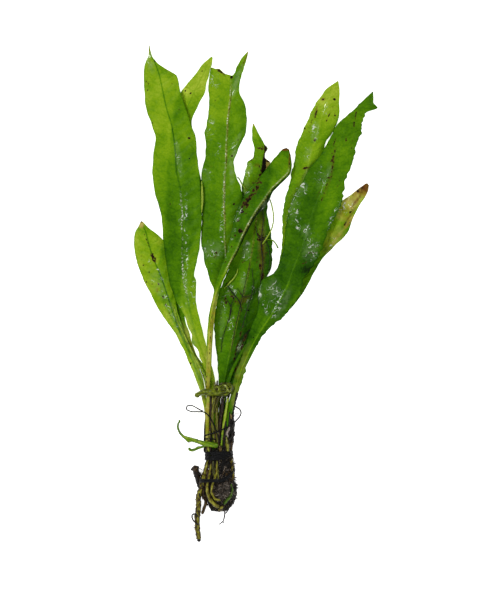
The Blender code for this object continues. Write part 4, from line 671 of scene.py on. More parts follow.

# How each blade looks. Marks are soft ellipses by the photograph's pixels: x, y, half sizes, turn in degrees, strength.
# Tones run from 0, deepest green, to 1, palest, down the photograph's rows, on the left and the right of the midrib;
# "shade" marks add their last number to the tone. The rib's rows give its own shift in tone and its half width in mm.
# Beads lie in rows on the midrib; each side has its darkest and its palest value, the palest being painted highlights,
# and "open" ones leave gaps.
# Dents move the outline: x, y, reach, shift across, shift down, all in pixels.
# A look's cover value scales the painted shade that darkens it over lower blades.
# The sheen marks paint a pale grey-green sheen onto a blade and give it a clear coat.
# The wet marks give a clear coat and painted highlights, pale glint strokes over the blade.
leafLooks = {
    "leaf_pale_behind": {
        "slot": "leaf_yellow", "specks": 0.12, "ruffle": 0.12, "rib": [(57, -0.06, 0.3), (110, -0.12, 0.3), (400, -0.25, 0.35)],
        "tones": [
            (57, 0.88, 0.9), (90, 0.82, 0.8), (110, 0.7, 0.66), (200, 0.62, 0.62), (297, 0.36, 0.36),
            (314, 0.42, 0.42), (328, 0.66, 0.64), (350, 0.74, 0.7), (380, 0.66, 0.66), (450, 0.4, 0.4),
        ],
        "shade": [(187, 92, 3, 6, 0, 0.06), (193, 125, 4, 12, 0, -0.06), (207, 70, 3, 10, -25, 0.05)],
        "tan": [(190, 345, 8, 22, 25, 0.5), (205, 380, 5, 14, 20, 0.6)],
        "dents": [(187, 324, 9, -2.2, 0), (192, 340, 9, -2.4, 0), (197, 354, 8, -3.0, 0)],
        "dead": [(185, 90, 1.0, 2.0, 0, 0.8), (190.5, 93, 0.9, 0.9, 0, 0.9), (187, 86, 0.5, 1.5, 0, 0.7), (202, 71, 0.6, 0.6, 0, 0.7)],
    },
    "leaf_right_yellow": {
        "slot": "leaf_yellow", "specks": 0.35, "ruffle": 0.2, "rib": [(183, 0, 0.4), (400, 0, 0.4)],
        "tones": [
            (183, 0.8, 0.8), (205, 0.84, 0.8), (222, 0.58, 0.56), (240, 0.54, 0.52), (260, 0.46, 0.44), (300, 0.4, 0.4),
            (340, 0.4, 0.4), (350, 0.5, 0.5), (400, 0.5, 0.5),
        ],
        "shade": [(333, 232, 3, 16, -35, 0.14), (322, 262, 3, 14, -35, -0.1), (352, 198, 3, 8, -36, 0.1)],
        "tan": [
            (362, 190, 11, 7, 45, 1.0), (351, 202, 10, 8, 40, 0.85), (344, 214, 7, 7, -40, 0.55), (349, 222, 2, 9, -36, 0.9),
            (337, 238, 2.0, 12, -36, 0.6), (334, 240, 8, 15, -36, 0.36),
        ],
        "rust": [(363.5, 187.5, 7.5, 4.5, 45, 1.0), (357, 200, 1.2, 10, -36, 0.6), (350, 216, 1.0, 12, -36, 0.45)],
        "dead": [
            (368, 183, 2.0, 1.4, 40, 0.75), (361, 190, 5, 3, 45, 0.45), (355, 193, 4, 1.4, 40, 0.5), (348, 196, 3, 2, 40, 0.45), (352, 210, 1.2, 5, -36, 0.5),
            (345, 224, 0.8, 5, -36, 0.5), (334, 240, 0.8, 6, -36, 0.4),
        ],
        "film": [(350, 203, 6, 5, 40, 0.3)],
        "wet": [(345, 205, 8, 7, 40), (350, 222, 3, 4, -30), (330, 244, 3, 8, -35, 0.6)],
    },
    "leaf_centre_spotted": {
        "slot": "leaf_dark", "specks": 0.85, "ruffle": 0.25, "fray": (0.2, 0.25),
        "rib": [(123, 0.0, 0.4), (200, 0.1, 0.45), (250, 0.2, 0.5), (360, 0.2, 0.5), (400, 0, 0.5)],
        "tones": [
            (123, 0.6, 0.55), (135, 0.66, 0.54), (150, 0.5, 0.44), (170, 0.5, 0.34), (195, 0.48, 0.28), (210, 0.4, 0.3),
            (250, 0.42, 0.32), (300, 0.36, 0.28), (330, 0.46, 0.28), (350, 0.44, 0.26), (380, 0.36, 0.3), (450, 0.4, 0.4),
        ],
        "shade": [
            (247, 178, 3, 16, -10, 0.14), (255, 131, 2, 7, 0, 0.14), (262, 135, 1.2, 10, 32, -0.15), (257, 225, 4, 14, -10, 0.06),
            (265, 255, 6, 26, 0, -0.16), (240, 285, 6, 14, -15, 0.05), (243, 320, 5, 14, -20, -0.12), (226, 320, 4, 14, 0, 0.06),
            (229, 365, 5, 14, 0, -0.12), (262, 208, 3, 10, 0, -0.1),
        ],
        "tan": [(267.5, 165, 3.5, 6, -15, 1.0), (254, 123, 1.5, 3, 0, 0.8), (262, 240, 4, 30, 0, 0.15)],
        "rust": [(267, 163, 3, 5, -15, 0.45), (257, 165, 3, 2, 0, 0.4), (262, 250, 2, 30, 0, 0.35), (243, 300, 8, 3, 30, 0.35)],
        "dead": [
            (263, 240, 5, 34, 0, 0.18), (238, 315, 8, 36, -12, 0.16), (256, 185, 8, 6, 30, 0.34), (254, 225, 6, 20, 0, 0.15),
            (261, 148, 4, 2.2, 0, 0.6), (265.4, 150, 1.4, 10, 0, 0.95), (263.8, 166, 2.2, 13, -5, 1.0), (260, 172, 2, 7, 0, 0.5),
            (268, 160, 3, 2.2, -40, 0.55), (266, 175, 3, 4, 0, 0.6), (262, 180, 3.5, 2.5, 0, 0.6), (258, 184, 3, 2.5, 30, 0.55),
            (262, 132, 0.7, 12, 32, 0.5), (259, 237, 2.2, 7, 0, 0.6), (263, 243, 1.2, 10, 0, 0.5), (261, 266, 2, 4, 0, 0.6),
            (262.5, 277, 2.2, 5, 0, 0.65), (257, 262, 0.7, 14, -8, 0.55), (244, 262, 2, 2, 0, 0.5), (232, 297, 2.5, 8, 25, 0.5),
            (252, 158, 1.6, 4, -35, 0.5), (236, 352, 1.2, 12, -13, 0.55), (240, 335, 1.2, 10, -20, 0.5), (226, 300, 1.5, 5, 0, 0.5),
        ],
        "film": [(249, 170, 3, 5, -20, 0.8), (246, 185, 3, 5, 0, 0.5), (247, 250, 4, 7, 0, 0.7), (243, 284, 3, 9, 0, 0.6), (222, 322, 3, 16, 0, 0.3)],
        "wet": [
            (246.5, 252, 4, 9, 0), (244, 283, 2.5, 9, 0), (223, 312, 3.5, 15, -8), (222, 346, 2.5, 8, 0),
            (231, 325, 3, 14, 0), (248, 172, 3, 8, -10), (245, 192, 2, 7, 0), (232, 290, 5, 6, 0, 0.7), (250, 300, 3, 12, -15, 0.7),
        ],
        "beadsAndGlints": [{"rows": (205, 360), "wide": 0.5, "left": (0.1, 0.55), "right": (0.05, 0.45), "cover": 0.75}],
        "dents": [(250, 161, 5, -2.2, 0), (257, 150, 4, 0.8, 0), (266.5, 147, 3, 0.8, 0), (244, 186, 5, -0.8, 0)],
    },
    "leaf_right_light": {
        "slot": "leaf_pale", "specks": 0.25, "ruffle": 0.25, "fray": (0.3, 0.14), "frayEvery": 3.6,
        "rib": [(81, 0.02, 0.5), (130, 0.07, 0.6), (200, 0.1, 0.6), (300, 0, 0.5)],
        "tones": [
            (81, 0.88, 0.92), (100, 0.8, 0.78), (130, 0.68, 0.64), (170, 0.54, 0.5), (210, 0.54, 0.5),
            (250, 0.56, 0.54), (300, 0.46, 0.4), (340, 0.34, 0.34), (370, 0.38, 0.38), (450, 0.3, 0.3),
        ],
        "shade": [
            (316, 150, 3, 22, -22, 0.1), (308, 120, 3, 14, -22, 0.05), (325, 140, 4, 12, -15, -0.05), (300, 178, 4, 14, -22, 0.07),
            (287, 225, 3, 22, -8, 0.08), (298, 205, 3, 12, -20, -0.06), (322, 102, 4, 8, -20, 0.05),
        ],
        "dead": [
            (334.5, 99, 1.6, 1.4, 0, 1.0), (323, 99, 1.4, 1.1, 0, 0.7), (316, 114, 0.8, 5, -12, 0.62), (311, 124, 0.8, 5, -17, 0.6),
            (306, 168, 3.4, 0.9, 10, 0.85), (315, 140, 1.2, 1.2, 0, 0.85), (328, 117, 0.8, 6, -25, 0.6), (335, 114, 0.7, 4, -5, 0.55),
            (331, 90, 1.5, 0.6, 30, 0.6), (305, 128, 0.7, 2, 0, 0.7), (320, 148, 0.8, 4, -10, 0.6), (303, 176, 0.7, 3, -20, 0.6),
            (309, 132, 0.7, 0.7, 0, 0.8), (299, 190, 0.7, 0.7, 0, 0.8), (333, 107, 0.7, 0.7, 0, 0.8), (312, 150, 0.7, 0.7, 0, 0.8),
            (296, 185, 1.5, 0.7, 20, 0.7), (325, 155, 1.5, 0.6, 20, 0.7),
        ],
        "film": [(305, 178, 2.5, 14, -22, 0.45), (315, 132, 3, 9, -10, 0.5), (308, 154, 3, 7, -15, 0.45)],
        "rust": [(323, 99, 2.4, 1.6, 0, 0.6), (316, 112, 1.2, 6, -12, 0.6), (306, 168, 4, 1.6, 10, 0.5)],
        "wet": [(315, 132, 3.5, 8, 0), (307, 155, 2.5, 7, 0), (297, 192, 2, 10, -25), (325, 108, 3, 6, 0), (289, 215, 2, 10, -15, 0.8)],
        "dents": [(300, 142, 4, -0.8, 0), (296, 160, 4, 0.7, 0), (335, 142, 4, -0.8, 0)],
    },
    "leaf_left_low": {
        "slot": "leaf_pale", "specks": 0.4, "ruffle": 0.3, "rib": [(221, -0.3, 0.3), (290, -0.45, 0.32), (380, -0.3, 0.4), (400, 0, 0.4)],
        "tones": [
            (221, 0.6, 0.6), (235, 0.8, 0.74), (270, 0.78, 0.86), (300, 0.78, 0.82), (330, 0.78, 0.76),
            (360, 0.84, 0.84), (390, 0.86, 0.84), (412, 0.72, 0.66), (430, 0.5, 0.45), (450, 0.3, 0.3),
        ],
        "shade": [
            (137, 250, 2, 16, 5, 0.08), (150, 295, 3, 14, 30, 0.06), (163, 262, 4, 14, 10, -0.06), (173, 322, 3, 14, 30, 0.06),
            (146, 238, 4, 8, 0, -0.04), (188, 345, 1.5, 22, 27, 0.1), (180, 330, 1.2, 30, 27, -0.06), (200, 398, 2, 16, 12, 0.08),
        ],
        "rust": [(141, 220.5, 2, 1.6, 0, 0.9), (157, 290, 1.3, 2.4, 0, 0.6)],
        "tan": [(141, 224, 3, 4, 0, 0.9), (203, 425, 5, 26, 0, 0.55), (148, 300, 10, 1.5, -60, 0.3)],
        "dead": [
            (141, 221, 1.8, 1.4, 0, 0.7), (153.5, 258, 2, 7, 22, 0.6), (133, 243, 1, 1, 0, 0.9), (143, 265, 0.9, 0.9, 0, 0.9),
            (146, 282, 0.9, 0.9, 0, 0.9), (160, 287, 0.9, 5, 25, 0.5), (157, 290, 1.2, 2, 0, 0.55), (147, 241, 0.6, 8, 22, 0.6),
            (136, 262, 0.8, 0.8, 0, 0.9), (139, 274, 0.8, 0.8, 0, 0.9), (141, 256, 0.6, 0.6, 0, 0.8), (149, 272, 0.6, 1.2, 0, 0.8), (166, 305, 0.8, 3, 25, 0.5), (170, 315, 0.8, 4, 25, 0.5),
            (152, 284, 0.8, 0.8, 0, 0.9), (163, 297, 0.8, 2, 20, 0.5),
        ],
        "film": [(158, 285, 5, 16, 25, 0.45), (178, 325, 5, 22, 27, 0.45), (198, 372, 4, 26, 18, 0.4)],
        "wet": [(160, 275, 2.5, 12, 15), (176, 322, 2, 8, 25, 0.8), (150, 265, 2, 6, 0, 0.8), (166, 300, 3, 10, 25, 0.8)],
    },
    "leaf_centre_tall": {
        "slot": "leaf_green", "specks": 0.35, "ruffle": 0.3, "fray": (0.2, 0.18), "rib": [(67, 0, 0.4), (400, 0, 0.4)],
        "tones": [
            (51, 0.72, 0.64), (75, 0.7, 0.57), (110, 0.66, 0.51), (150, 0.5, 0.47), (190, 0.46, 0.46),
            (230, 0.39, 0.46), (270, 0.4, 0.42), (300, 0.44, 0.42), (320, 0.5, 0.48), (340, 0.48, 0.48), (400, 0.45, 0.45), (450, 0.3, 0.3),
        ],
        "shade": [
            (214, 95, 3, 18, 0, 0.05), (224, 120, 3, 25, 0, -0.03), (236, 75, 2.5, 12, -25, -0.12), (244, 62, 3, 10, -25, 0.08),
            (236, 130, 3, 16, 0, 0.07), (243, 120, 2, 18, 0, -0.06), (236, 205, 3, 20, 0, 0.0), (206, 200, 2, 30, 0, -0.08),
            (219, 200, 3, 30, 0, 0.03), (214, 155, 3, 8, 0, -0.04), (207, 262, 2, 10, 22, -0.05), (213, 285, 3, 12, 0, 0.04),
        ],
        "tan": [(248, 52, 1.5, 3, 0, 0.6)],
        "rust": [(220, 71, 6, 1.0, -38, 0.7), (214, 67.5, 3, 0.8, 0, 0.4), (245, 60, 0.7, 8, -25, 0.5)],
        "dead": [
            (220.5, 71.5, 5, 0.9, -38, 0.7), (231.6, 77.3, 1.3, 1.5, 0, 0.95), (211, 167, 0.9, 0.9, 0, 0.8), (215, 211, 1, 1, 0, 0.8),
            (205, 222, 0.9, 0.9, 0, 0.7), (216, 255, 1.5, 4, -20, 0.55), (234, 204, 1.2, 1.0, 0, 0.9), (238, 140, 0.8, 0.8, 0, 0.6),
            (215, 101, 0.6, 0.6, 0, 0.6), (220, 97, 0.6, 0.6, 0, 0.6), (232, 156, 0.9, 1.4, 0, 0.6), (218, 240, 0.8, 0.8, 0, 0.6),
            (206, 236, 0.8, 0.8, 0, 0.6), (231, 176, 1.2, 1.2, 0, 0.5), (245, 60, 0.5, 8, -25, 0.45),
        ],
        "film": [
            (236, 84, 2.5, 12, -15, 0.8), (240, 72, 1.5, 6, -20, 0.6), (232.5, 157, 2.5, 10, -20, 0.85), (236, 142, 2, 9, -28, 0.7),
            (232, 175, 2.5, 14, 0, 0.6), (213, 250, 9, 8, 0, 0.5), (206, 175, 3, 5, 0, 0.3),
        ],
        "wet": [
            (215, 80, 4.5, 7, 0), (211.5, 250, 9, 8, 0), (206, 176, 5, 6, 0), (223.5, 195, 1.6, 40, -2),
            (208, 265, 5, 6, 0), (222, 232, 2, 18, 0), (211, 128, 4, 10, 0, 0.6), (218, 150, 3, 8, 0, 0.55),
        ],
        "beadsAndGlints": [{"rows": (78, 264), "wide": 0.55, "left": (0.34, 0.95), "right": (0.15, 0.6), "cover": 0.95}],
        "dents": [
            (219, 71, 3.2, 0.4, -2.2), (224.5, 75, 2.0, 0, 1.6), (228, 76.5, 2.0, 0, -0.6), (213, 67, 2.2, 0, -0.6),
            (205.5, 142, 5, 0.8, 0), (206, 120, 6, -0.5, 0), (240.5, 87, 4, -0.8, 0), (234, 163, 4, -0.4, 0),
        ],
    },
    "leaf_left_tall": {
        "slot": "leaf_green", "specks": 0.12, "ruffle": 0.3, "cover": 0.85,
        "rib": [(50, -0.3, 0.3), (150, -0.34, 0.32), (190, -0.1, 0.4), (300, -0.15, 0.4), (400, -0.12, 0.5)],
        "tones": [
            (45, 0.74, 0.74), (62, 0.68, 0.64), (80, 0.76, 0.72), (130, 0.72, 0.67), (180, 0.64, 0.6),
            (230, 0.57, 0.51), (270, 0.53, 0.52), (300, 0.6, 0.58), (325, 0.82, 0.8), (345, 0.88, 0.88),
            (390, 0.84, 0.84), (412, 0.5, 0.5), (450, 0.2, 0.2),
        ],
        "shade": [
            (162, 150, 6, 24, 0, -0.08), (170, 150, 2.5, 20, 4, 0.09), (148, 95, 2.5, 18, 0, 0.03), (170, 105, 3, 25, 10, 0.04), (186, 128, 5, 26, 0, 0.09),
            (192, 165, 5, 20, 8, 0.04), (196, 225, 3, 30, 0, 0.05), (188, 205, 3, 40, 0, -0.03), (196, 300, 3, 14, 0, 0.12),
            (172, 218, 5, 26, 8, -0.12), (160, 195, 4, 20, 8, -0.06), (152, 95, 4, 14, 0, -0.03),
            (186, 318, 1.6, 26, 20, 0.12), (196, 345, 1.2, 30, 15, -0.1), (157, 215, 2.5, 20, 8, 0.06), (172, 95, 3, 10, 20, 0.04),
        ],
        "tan": [(149, 47, 2, 6, 0, 0.4), (166, 69, 9, 0.9, -40, 0.3)],
        "dead": [
            (149, 82, 0.9, 0.9, 0, 0.9), (147.5, 90, 0.9, 0.9, 0, 0.9), (153, 123, 0.9, 0.9, 0, 0.9), (152.5, 130, 0.8, 0.8, 0, 0.9),
            (189, 138, 1.4, 1.0, 20, 0.8), (190, 253, 0.9, 0.9, 0, 0.9), (155, 61, 1.2, 0.9, 0, 0.9), (146.5, 82.5, 5, 0.55, -52, 0.8),
            (170.5, 205, 0.8, 0.8, 0, 0.8), (172, 84, 0.7, 0.7, 0, 0.8), (179, 110, 0.7, 0.7, 0, 0.8), (186, 270, 0.7, 0.7, 0, 0.8),
        ],
        "film": [
            (150, 60, 3.5, 11, 12, 0.7), (178.5, 158, 2.5, 16, 9, 0.7), (186, 290, 3, 16, 10, 0.3), (190, 330, 4, 25, 14, 0.4),
        ],
        "wet": [
            (194, 292, 3, 12, 0), (186, 245, 1.8, 52, 0), (178, 158, 2, 16, 9), (181, 215, 2.2, 12, 0, 0.8), (183, 320, 3, 20, 14, 0.6),
        ],
        "beadsAndGlints": [{"rows": (190, 305), "wide": 0.42, "left": (0.45, 1.0), "right": (0.45, 1.0), "cover": 0.95, "open": True}],
        "dents": [
            (153.5, 61, 2, 0.6, 0), (153, 152, 6, -0.6, 0), (144, 83, 6, -0.3, 0), (183, 318, 8, 2.6, 0), (188, 333, 8, 4.2, 0),
            (195, 351, 8, 4.4, -0.5), (201, 363, 5, 2.4, -0.5),
        ],
    },
    "leaf_small_dark": {
        "slot": "leaf_dark", "specks": 0.8, "ruffle": 0.08, "rib": [(320, -0.1, 0.3), (400, -0.1, 0.3)],
        "tones": [(325, 0.2, 0.18), (345, 0.28, 0.2), (370, 0.2, 0.15), (400, 0.2, 0.2)],
        "dead": [(238, 362, 1.2, 16, -16, 0.5), (244, 340, 1.2, 12, -20, 0.5), (240, 350, 4, 1.2, 0, 0.5)],
        "film": [(238, 346, 4, 5, 0, 0.6)],
        "wet": [(238, 345, 4, 6, 0, 0.8)],
    },
    "leaf_right_broad": {
        "slot": "leaf_dark", "specks": 0.4, "ruffle": 0.42, "fray": (0.18, 0.55), "frayEvery": 4.4, "cover": 0.4,
        "rib": [(90, -0.05, 0.4), (190, 0.04, 0.5), (250, 0.1, 0.6), (300, 0.26, 0.45), (370, 0.24, 0.45), (400, 0, 0.6)],
        "tones": [
            (90, 0.42, 0.38), (115, 0.45, 0.44), (130, 0.46, 0.45), (150, 0.44, 0.43), (190, 0.4, 0.43), (230, 0.36, 0.4),
            (260, 0.32, 0.34), (290, 0.3, 0.3), (320, 0.32, 0.3), (345, 0.31, 0.28), (370, 0.4, 0.38), (400, 0.36, 0.36),
            (425, 0.3, 0.3), (450, 0.2, 0.2),
        ],
        "shade": [
            (340, 165, 3, 20, -20, 0.08), (350, 150, 3, 20, -12, 0.03), (325, 175, 4, 16, -22, -0.05), (372, 108, 4, 4, 0, -0.08),
            (360, 118, 3, 12, -35, 0.04), (344, 200, 2.5, 16, -22, 0.06), (309, 205, 8, 8, 0, -0.03), (288, 235, 3, 20, -12, 0.08),
            (311, 225, 3, 22, -22, -0.08), (325, 225, 4, 16, -22, 0.05), (300, 270, 5, 5, 20, -0.12), (309, 268, 4, 8, -35, -0.14),
            (291, 262, 3, 14, -25, 0.06), (278, 270, 4, 14, -20, -0.04), (264, 305, 3, 14, -20, 0.08), (285, 300, 4, 12, -35, -0.08),
            (298, 295, 2, 14, -35, 0.16), (262, 330, 3, 16, -33, 0.06), (248, 360, 2.5, 16, -25, 0.05), (259, 345, 2, 14, -33, -0.1),
            (302, 190, 6, 10, 0, 0.05), (330, 205, 4, 14, -22, 0.05),
        ],
        "dead": [
            (333, 162, 0.9, 11, -8, 0.62), (330, 177, 3.5, 0.8, 20, 0.62), (356, 114, 0.7, 9, -8, 0.55), (354, 124, 0.7, 4, 0, 0.6),
            (325, 190, 0.7, 15, -20, 0.55), (313, 253, 8, 0.7, 5, 0.6), (334, 143, 0.7, 5, -20, 0.55), (306, 262, 8, 0.7, 25, 0.55),
            (332, 158, 1.8, 5, -8, 0.5), (373, 92, 1, 1, 0, 0.6),
            (335, 150, 0.7, 4, -10, 0.6), (352, 143, 0.6, 8, -12, 0.5), (318, 195, 0.7, 5, -25, 0.55),
            (338, 185, 0.6, 6, -15, 0.5), (318, 247, 3, 0.7, -30, 0.6), (346, 140, 0.6, 6, -10, 0.5),
        ],
        "film": [
            (350, 107, 6, 3.5, 40, 0.5), (322, 180, 4, 8, -20, 0.3), (293, 208, 5, 9, 0, 0.4), (306, 232, 4, 6, 0, 0.5), (310, 250, 6, 9, -20, 0.6),
            (273, 288, 6, 8, 0, 0.5), (284, 303, 3, 15, -24, 0.5), (300, 190, 5, 6, 0, 0.4), (329, 172, 3, 8, 0, 0.3), (259, 292, 3, 8, 0, 0.5),
        ],
        "wet": [
            (293, 208, 6, 14, 0), (307, 232, 5, 7, 0), (311, 248, 7, 12, -15), (320, 180, 5, 12, 0, 0.7),
            (334, 215, 2.5, 14, -25), (273, 290, 6, 10, 0), (259, 290, 2.5, 9, 0), (266, 306, 3, 10, 0),
            (279, 304, 3.5, 14, -24), (302, 190, 5, 7, 0), (298, 222, 3, 8, 0, 0.8), (253, 305, 2, 8, 0),
        ],
        "rust": [(333, 162, 1.6, 14, -8, 0.25), (328, 185, 1.4, 16, -20, 0.2)],
        "tan": [(240, 372, 4, 26, -18, 0.22), (236, 395, 5, 16, 0, 0.25)],
        "dents": [
            (377, 100, 3, -1.0, 0), (371, 103, 3, -1.4, 0), (347, 168, 4, 1.2, 0), (350, 154, 4, -1.2, 0), (341, 188, 4, 1.2, 0),
            (337, 202, 4, -1.0, 0), (343, 118, 5, 0.7, 0), (355, 104, 4, -0.8, -0.5), (358, 128, 4, 1.0, 0), (355, 138, 3, -0.8, 0),
        ],
    },
    "leaf_folded_front": {
        "slot": "leaf_green", "specks": 0.6, "ruffle": 0.1,
        "rib": [(148, 0.1, 0.5), (180, 0.28, 0.7), (250, 0.3, 0.7), (270, 0.42, 0.9), (330, 0.25, 0.7), (400, 0.1, 0.7)],
        "tones": [
            (148, 0.4, 0.32), (160, 0.45, 0.28), (180, 0.52, 0.1), (200, 0.48, 0.03), (240, 0.54, 0.05), (280, 0.62, 0.3),
            (300, 0.76, 0.6), (330, 0.78, 0.74), (380, 0.74, 0.7), (412, 0.68, 0.66), (450, 0.45, 0.45),
        ],
        "shade": [(280, 158, 3, 6, -30, 0.05), (265, 195, 3, 16, -38, 0.03), (228, 255, 2, 14, -25, 0.04),
            (207, 350, 0.8, 42, 3, -0.3), (212.6, 345, 0.8, 40, 6, -0.3), (214, 310, 0.9, 14, -12, -0.3)],
        "rust": [(285, 149.5, 5.5, 1.5, 0, 1.0), (289.5, 158, 0.9, 9, -5, 0.7)],
        "tan": [(213, 330, 4, 34, -5, 0.65), (208, 380, 4, 30, 0, 0.7), (208, 425, 5, 30, 0, 0.8)],
        "dead": [
            (247, 201, 2.4, 9, -38, 0.85), (254, 192, 2.8, 8, -40, 0.6), (258, 184, 3, 5, -40, 0.6), (242, 212, 1.6, 1.5, 0, 0.85),
            (238, 221, 1.3, 1.3, 0, 0.8), (240.5, 231, 2.7, 2.4, 0, 1.0), (235, 236, 1.0, 1.0, 0, 0.8), (284, 149, 5, 0.8, 5, 0.55),
            (246, 206, 2.2, 4, -30, 0.7), (289.5, 162, 0.6, 10, -5, 0.55), (232, 247, 0.8, 0.8, 0, 0.7), (246, 214, 0.8, 0.8, 0, 0.7),
            (252, 203, 1, 1, 0, 0.6), (274, 160, 1, 1, 0, 0.5), (257, 178, 3, 3, 0, 0.5), (226, 262, 0.8, 0.8, 0, 0.6),
            (210, 345, 0.5, 30, -3, 0.5), (206, 395, 0.6, 25, -3, 0.5), (210.5, 420, 0.6, 25, 0, 0.6),
        ],
        "film": [(265, 205, 3, 5, -35, 0.6)],
        "wet": [(237, 216, 3, 8, -25), (231, 236, 3, 7, -25), (226, 252, 2, 7, -20), (264, 206, 3, 5, -35), (247, 190, 4, 5, -35, 0.7)],
        "beadsAndGlints": [{"rows": (165, 275), "wide": 0.75, "left": (0.45, 0.84), "right": (0.12, 0.66), "cover": 0.92}],
        "dents": [(289, 157, 3, 0.7, 0), (277, 156, 3, 0, 0.7)],
    },
}

leafGrid = {
    "stations": 400,
    "halfColumns": 24,  # of the upper side, on each side of the midrib
    "edgeHalf": 0.06,  # mm, as are the rest but the shares
    "bladeHalf": 0.16,
    "ribLow": 0.72,
    "ribTip": 0.26,
    "ribOver": 0.72,  # share of the midrib's swelling that shows on the upper side of a blade
    "foot": (110.4, 70.5, 4.9, 0.7),  # where the stalks gather inside the mat, and how far each is drawn to it
    "footPull": 0.4,
    "quilt": 0.17,
    "quiltEvery": 5.2,
    "waves": (17.0, 9.0),
    "beadEvery": 1.6,
    "beadHigh": 0.14,
    "rimDark": 0.12,
    "underShadeFirst": 0.19,  # painted shade: how much darker a blade is painted over one other blade, and over each more
    "underShadeMore": 0.08,
}


def leafLine(shape, count):
    # left edge, midrib, right edge, midrib radius and share of blade, from stem to tip, at places where the three
    # lines have together moved on by even steps
    stem, blade = np.array(shape["stem"]), np.array(shape["blade"])
    foot = stem[0] + leafGrid["footPull"] * (np.array(leafGrid["foot"]) - stem[0])
    foot[1] = leafGrid["foot"][1]
    stem = np.vstack([foot, stem])
    line = np.vstack([stem[:, :2], blade[:1, 3:5]])
    i = np.arange(len(stem))
    run = line[i + 1] - line[np.maximum(i - 1, 0)]
    across = np.column_stack([run[:, 1], -run[:, 0], np.zeros(len(i))])
    across *= stem[:, 3:] / np.linalg.norm(across, axis=1)[:, None]
    share = np.linspace(0, 1, len(blade))
    radius = leafGrid["ribTip"] + (leafGrid["ribLow"] - leafGrid["ribTip"]) * (1 - share) ** 1.4
    radius[-1] = leafGrid["edgeHalf"]
    bladeness = np.minimum(1, 0.55 + 0.45 * np.arange(len(blade)))
    low = np.hstack([stem[:, :3] - across, stem[:, :3], stem[:, :3] + across, stem[:, 3:], np.zeros((len(i), 1))])
    high = np.hstack([blade, radius[:, None], bladeness[:, None]])
    rows = np.vstack([low, high])
    places = distances(rows[:, 3:6])
    fine = np.linspace(0, places[-1], 6 * count)
    lines = glide(places, rows, fine)
    moved = sum(distances(lines[:, k : k + 3]) for k in (0, 3, 6))
    at = np.interp(np.linspace(0, moved[-1], count), moved, fine)
    rows = glide(places, rows, at)
    return at, rows[:, 0:3], rows[:, 3:6], rows[:, 6:9], rows[:, 9:10], rows[:, 10:11]


def insideOutline(x, y, outline):
    # even-odd rule: a point is inside when a line from it crosses the outline an odd number of times
    inside = np.zeros(x.shape, bool)
    for (ax, ay), (bx, by) in zip(outline, np.roll(outline, -1, axis=0)):
        if ay != by:
            inside ^= ((ay > y) != (by > y)) & (x < (bx - ax) * (y - ay) / (by - ay) + ax)
    return inside


def ovalReach(x, y, mark):
    # how far out each point lies in a turned ellipse: 0 in its middle and 1 on its rim
    across, down, halfX, halfY, turn = mark[:5]
    dx, dy = x - across * pixel, y - (sheetHigh - down * pixel)
    cos, sin = np.cos(np.radians(turn)), np.sin(np.radians(turn))
    return np.hypot((dx * cos + dy * sin) / (halfX * pixel), (dy * cos - dx * sin) / (halfY * pixel))


def marked(x, y, marks, seed, soft=0.3, ragged=(0.9, 0.0, 0.45)):
    # each ellipse's strength in its middle and 0 outside, over a soft rim, worn ragged by wide and small ripples
    share = np.zeros(x.shape)
    if not marks:
        return share
    for mark in marks:
        strength = mark[5] if len(mark) > 5 else 1.0
        rim = np.clip((1 + soft / 2 - ovalReach(x, y, mark)) / soft, 0, 1)
        share = np.maximum(share, strength * rim)
    base, wide, small = ragged
    return np.clip(share * (base + wide * ripples(x, y, 4.0, seed) + small * ripples(x, y, 1.3, seed + 1)), 0, 1)


